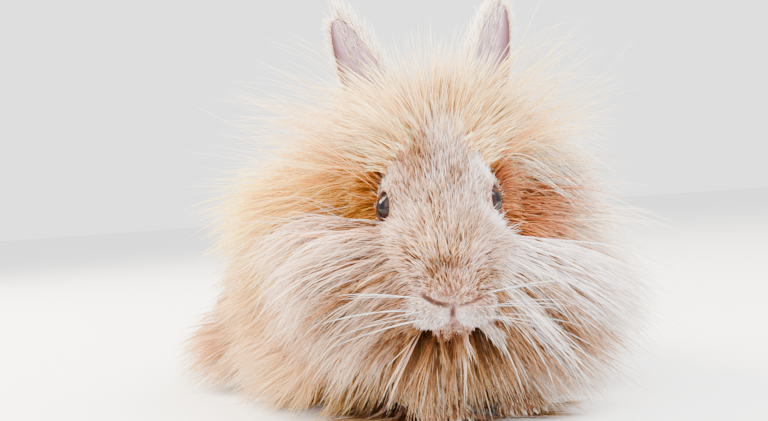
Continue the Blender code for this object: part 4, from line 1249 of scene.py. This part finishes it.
def build_eye(word, side, made, rings=39, spokes=56):
    """A ball with a bulging cornea, its rings round the axis of its look."""
    turn = np.linspace(0, math.pi, rings + 2)[1:-1]
    across, ahead = np.sin(turn), np.cos(turn)
    reach = CORNEA_RADIUS**2 - (CORNEA_OUT * across) ** 2
    bulge = CORNEA_OUT * ahead + np.sqrt(np.maximum(reach, 0))
    radius = -blended(np.full_like(turn, -EYE_RADIUS), -bulge, 0.5)
    around = np.linspace(0, math.tau, spokes, endpoint=False)
    wide, far = (radius * across)[:, None], (radius * ahead)[:, None]
    shell = stacked(wide * np.cos(around), wide * np.sin(around), far).reshape(-1, 3)
    points = np.concatenate((shell, ((0, 0, CORNEA_OUT + CORNEA_RADIUS), (0, 0, -EYE_RADIUS))))
    front, back, last = len(shell), len(shell) + 1, (rings - 1) * spokes
    here = np.arange(spokes)
    after = (here + 1) % spokes
    sides = triangles_of(ring_quads(rings, spokes)[:, (0, 3, 2, 1)])
    ends = stacked(front, here, after), stacked(back, last + after, last + here)
    obj = mesh_object("eye_" + word, EYES[side].out(points), np.concatenate((sides, *ends)))
    away = np.hypot(points[:, 0], points[:, 1])
    iris = mixed(IRIS_INNER, IRIS_OUTER, np.clip((away - PUPIL_RADIUS - 0.2) / 2, 0, 1))
    colours = mixed(PUPIL_BLACK, iris, np.clip((away - PUPIL_RADIUS) / 0.5, 0, 1))
    paint(obj, mixed(colours, EYE_RIM, np.clip((away - IRIS_RADIUS) / 0.9, 0, 1)))
    dress(obj, made, "eye", "eye_" + word)


EYE_LOOK = painted("eye", 0.08, gloss=0.14)
for word, side in SIDES.items():
    build_eye(word, side, EYE_LOOK)


# Ears

EAR_ROOTS = {1: (18, 20, 22), -1: (-14, 20, 22)}
EAR_TIPS = {1: (35, 30, 85), -1: (-38, 29, 83)}
EAR_SUNK = 6
EAR_WIDTH = 24
EAR_THICK = 1.8
EAR_BACK = (236, 206, 176)
EAR_CUP = (158, 132, 152)
EAR_RIB = (210, 176, 186)
EAR_SHADE = (112, 78, 90)
EAR_EDGE = (92, 58, 60)


def ear_place(side):
    """The frame of an ear, with its length along +Z and its hollow towards -Y."""
    root = np.array(EAR_ROOTS[side])
    along = unit(np.array(EAR_TIPS[side]) - root)
    across = unit(np.cross(along, (side * 0.62, -0.78, 0.1)))
    hollow = unit(np.cross(across, along))
    return Place(HEAD.out(root), HEAD.axes @ np.array((across, -hollow, along)).T)


def ear_section(side, share, a):
    """Places on the middle of the blade and their normals, for shares of its length and width."""
    length = ear_place(side).into(HEAD.out(EAR_TIPS[side]))[2]
    height = -EAR_SUNK + (length + EAR_SUNK) * share
    swell = np.sin(math.pi * np.minimum(1, 0.24 + 0.76 * share)) ** 0.5
    half = np.maximum(0.9, EAR_WIDTH / 2 * swell)
    depth = half * (1.15 - 0.75 * share)
    across = half * np.sin(a * math.pi / 2 * (0.9 + 0.1 * share))
    slope = unit(stacked(half * 0.9, -2 * depth * a))
    normal = stacked(-slope[..., 1], slope[..., 0], 0)
    return stacked(across, depth * (1 - a * a), height), normal


def build_ear(word, side, made, rings=40, columns=29):
    """A leaf rolled into a cup, with a thin rim."""
    share, a = np.meshgrid(np.linspace(0, 1, rings), np.linspace(-1, 1, columns), indexing="ij")
    middle, normal = ear_section(side, share, a)
    wall = EAR_THICK * (1.25 - 0.45 * share) / 2 * (1 - 0.5 * np.abs(a) ** 3)
    ripple = 0.35 * np.sin(9 * a + 4 * share) * np.sin(math.pi * share)
    fold = np.exp(-(((a - 0.15) / 0.1) ** 2)) * 0.5 * np.sin(math.pi * share)
    front = middle - normal * (wall + ripple * 0.3 + fold)[..., None]
    back = middle + normal * (wall - ripple * 0.3)[..., None]
    points = np.concatenate((front, back[:, ::-1]), 1).reshape(-1, 3)
    count = 2 * columns
    k = np.arange(columns - 1)
    end = stacked(k, k + 1, count - 2 - k, count - 1 - k)
    quads = np.concatenate((ring_quads(rings, count), end[:, ::-1], end + (rings - 1) * count))
    if side < 0:
        quads = quads[:, ::-1]
    obj = mesh_object("ear_" + word, ear_place(side).out(points), quads)
    inner = np.tile(np.arange(count) < columns, rings)
    up, crosswise = (np.concatenate((v, v[:, ::-1]), 1).ravel() for v in (share, a))
    ribs = 0.5 + 0.5 * np.sin(14 * crosswise + 3 * up)
    outer_side = np.clip(side * crosswise * 2 - 0.7, 0, 1) * inner
    colours = mixed(mixed(EAR_BACK, EAR_CUP, inner), EAR_RIB, inner * ribs * 0.45)
    colours = mixed(colours, EAR_SHADE, outer_side * (0.3 + 0.7 * up) * 0.9)
    paint(obj, mixed(colours, EAR_EDGE, np.abs(crosswise) ** 6 * 0.9 * up))
    dress(obj, made, "ear_skin", "ear_" + word)


EAR_GRAIN = (0.78, 0.70, 0.72, 1)
EAR_LOOK = mottled("ear_skin", 0.55, 260, 4, EAR_GRAIN, 0.0003, sheen=0.3, subsurface=0.25)
for word, side in SIDES.items():
    build_ear(word, side, EAR_LOOK)


def ear_hairs(name, place, roots, start, end, length, stations, widths, shades):
    """Hairs from roots and directions in an ear's frame."""
    count = len(roots)
    curves = arched(place, place.out(roots), start, end, length, stations)
    add_coat(name, "mane", curves, dice.uniform(*widths, count), even(shades, count))


def ear_fur(down, fringe, lining):
    """Short down on the backs of the ears, sparse hair in the cups and wisps on the rims."""
    for word, side in SIDES.items():
        place = ear_place(side)
        share = dice.uniform(0.1, 0.99, down)
        a = dice.uniform(-0.98, 0.98, down)
        middle, normal = ear_section(side, share, a)
        roots = middle + normal * (EAR_THICK * 0.35)
        end = stacked(a * 0.25, 0, 1)
        start = end + normal * 0.5
        length = dice.uniform(5, 8, down)
        name = "ear_down_" + word
        ear_hairs(name, place, roots, start, end, length, 3, (0.45, 0.7), EAR_DOWN)

        share = dice.uniform(0.05, 0.93, lining)
        a = -side * dice.uniform(-0.35, 0.9, lining)
        middle, normal = ear_section(side, share, a)
        roots = middle - normal * (EAR_THICK * 0.3)
        start = dice.normal(size=(lining, 3)) * 0.2 + (-side * 0.5, -0.5, 0.9)
        end = start + (side * 0.4, 0.2, 0.2)
        length = dice.uniform(6, 11, lining) * (1 - 0.3 * share)
        name = "ear_lining_" + word
        ear_hairs(name, place, roots, start, end, length, 4, (0.24, 0.4), TAIL)

        share = dice.uniform(0.02, 1, fringe)
        inward = np.where(dice.random(fringe) < 0.7, -side, side)
        middle, _ = ear_section(side, share, inward * dice.uniform(0.55, 1, fringe))
        start = stacked(inward * 0.5, -0.5, 0.7) + dice.normal(size=(fringe, 3)) * 0.2
        end = stacked(inward * 0.35, -0.2, 1) + dice.normal(size=(fringe, 3)) * 0.25
        length = np.where(inward == -side, 15 - 4 * share, 6) * dice.uniform(0.6, 1.2, fringe)
        name = "ear_fringe_" + word
        ear_hairs(name, place, middle, start, end, length, 5, (0.3, 0.5), TAIL)


ear_fur(1700, 900, 450)


# Whiskers and claws

WHISKER_WIDTH = 0.2
CLAW_ROOT = (196, 160, 140)
CLAW_TIP = (236, 222, 208)


def build_whiskers():
    """Long fine hairs from the pads of the muzzle."""
    side, row, k = (axis.ravel() for axis in np.meshgrid((1, -1), range(3), range(3), indexing="ij"))
    roots = on_skin(stacked(side * (9 + 1.5 * k), -34 + 2.6 * k, -34 - 3 * row), FACE_DEPTH)
    start = stacked(side, -0.25 + 0.1 * k, 0.16 - 0.12 * row)
    end = stacked(side * 0.9, 0.5, -0.1 - 0.16 * row)
    count = len(roots)
    length = (30 + 4 * k) * dice.uniform(0.8, 1.2, count)
    start = start + dice.normal(size=(count, 3)) * 0.06
    curves = arched(HEAD, roots, start, end, length, 9)
    widths = np.full(count, WHISKER_WIDTH)
    add_coat("whiskers", "mane", curves, widths, even(WHISKER, count), tint=0.02)


build_whiskers()


def claw_points(root, toe, length, radius, rings, spokes, sunk=3):
    """Rings of points round a horn that curves down from its sunken root."""
    share = np.linspace(0, 1, rings)[:, None]
    around = np.linspace(0, math.tau, spokes, endpoint=False)[:, None]
    ahead = unit((toe * 0.1, -1, 0))
    line = np.array(root) + ahead * ((length + sunk) * share - sunk)
    line[:, 2] -= 1.2 * share[:, 0] ** 2
    spoke = np.cross(ahead, (0, 0, 1)) * np.cos(around) * 0.85 + (0, 0, 1) * np.sin(around)
    size = radius * np.sqrt(np.clip(1 - share**1.5, 0.01, 1))
    return (line[:, None] + spoke * size[..., None]).reshape(-1, 3)


def build_claws(rings=9, spokes=10):
    """Small curved horns at the ends of the toes."""
    # Each kind of paw: its place, the toes' spacing and setback, and a claw's length and radius
    paws = (((16.5, -97, 3.2), 4.4, 2.2, 5, 1.1), ((57, 13, 3.4), 5, 2.6, 6, 1.3))
    points = []
    for side in SIDES.values():
        for (out, along, up), apart, setback, length, radius in paws:
            for toe in TOES:
                root = (side * out + toe * apart, along + setback * abs(toe), up)
                points.append(claw_points(root, toe, length, radius, rings, spokes))
    k = np.arange(1, spokes - 1)
    last = (rings - 1) * spokes
    sides = triangles_of(ring_quads(rings, spokes))
    one = np.concatenate((sides, stacked(0, k + 1, k), last + stacked(0, k, k + 1)))
    faces = np.concatenate([one + i * rings * spokes for i in range(len(points))])
    shades = mixed(CLAW_ROOT, CLAW_TIP, np.repeat(np.linspace(0, 1, rings), spokes))
    colours = np.tile(shades, (len(points), 1))
    points = BODY.out(np.concatenate(points))
    points[:, 2] = np.maximum(points[:, 2], SOLE_HEIGHT / 2)
    claws = mesh_object("claws", points, faces)
    paint(claws, colours)
    dress(claws, painted("claw", 0.35), "coat")


build_claws()


# Floor, lights and camera

FLOOR_SIZE = 40
FLOOR_COLOUR = (0.80, 0.795, 0.79, 1)
SKY_COLOUR = (0.95, 0.95, 0.96, 1)
SKY_STRENGTH = 2.55

# Each lamp: its name, place in metres, size, power and colour
LAMPS = (
    ("key", (0.7, -0.8, 1.4), 1.0, 105, (1.0, 0.98, 0.97)),
    ("back", (-0.9, 0.7, 1.0), 0.7, 120, (1.0, 0.86, 0.66)),
    ("fill", (-1.1, -0.8, 0.9), 1.2, 28, (1.0, 0.95, 0.90)),
)
LAMP_TARGET = (0, -0.06, 0.08)
CAMERA_DISTANCE = 361
CAMERA_ASIDE = -22.3
CAMERA_HEIGHT = 87.5
CAMERA_ROLL = math.radians(4.0)
CAMERA_LENS = 42.2


def build_stage():
    """A pale floor under soft light."""
    bpy.ops.mesh.primitive_plane_add(size=FLOOR_SIZE)
    floor = bpy.context.object
    floor.name = "floor"
    made, shader = material("floor", 0.8)
    shader.inputs["Base Color"].default_value = FLOOR_COLOUR
    floor.data.materials.append(made)
    world = bpy.data.worlds.new("studio")
    bpy.context.scene.world = world
    world.use_nodes = True
    sky = world.node_tree.nodes["Background"]
    sky.inputs["Color"].default_value = SKY_COLOUR
    sky.inputs["Strength"].default_value = SKY_STRENGTH


def add_light(name, place, size, power, colour):
    light = bpy.data.lights.new(name, "AREA")
    light.size = size
    light.energy = power
    light.color = colour
    lamp = new_object(name, light)
    lamp.location = place
    lamp.rotation_mode = "QUATERNION"
    lamp.rotation_quaternion = (Vector(LAMP_TARGET) - Vector(place)).to_track_quat("-Z", "Y")


def build_camera():
    """Level with the eyes, straight in front of the face, rolled a little as the photo is."""
    data = bpy.data.cameras.new("camera")
    data.lens = CAMERA_LENS
    data.clip_start = 0.01
    camera = new_object("camera", data)
    middle = (left_eye + right_eye) / 2
    forward, rightward = HEAD.axes[:, 1], HEAD.axes[:, 0]
    spot = middle + rightward * CAMERA_ASIDE - forward * CAMERA_DISTANCE
    spot[2] = CAMERA_HEIGHT
    look = Vector(forward)
    level = look.to_track_quat("-Z", "Y").to_matrix().to_4x4()
    turn = Matrix.Rotation(CAMERA_ROLL, 4, look) @ level
    camera.matrix_world = Matrix.Translation(Vector(spot * MM)) @ turn
    bpy.context.scene.camera = camera


build_stage()
for lamp in LAMPS:
    add_light(*lamp)
build_camera()
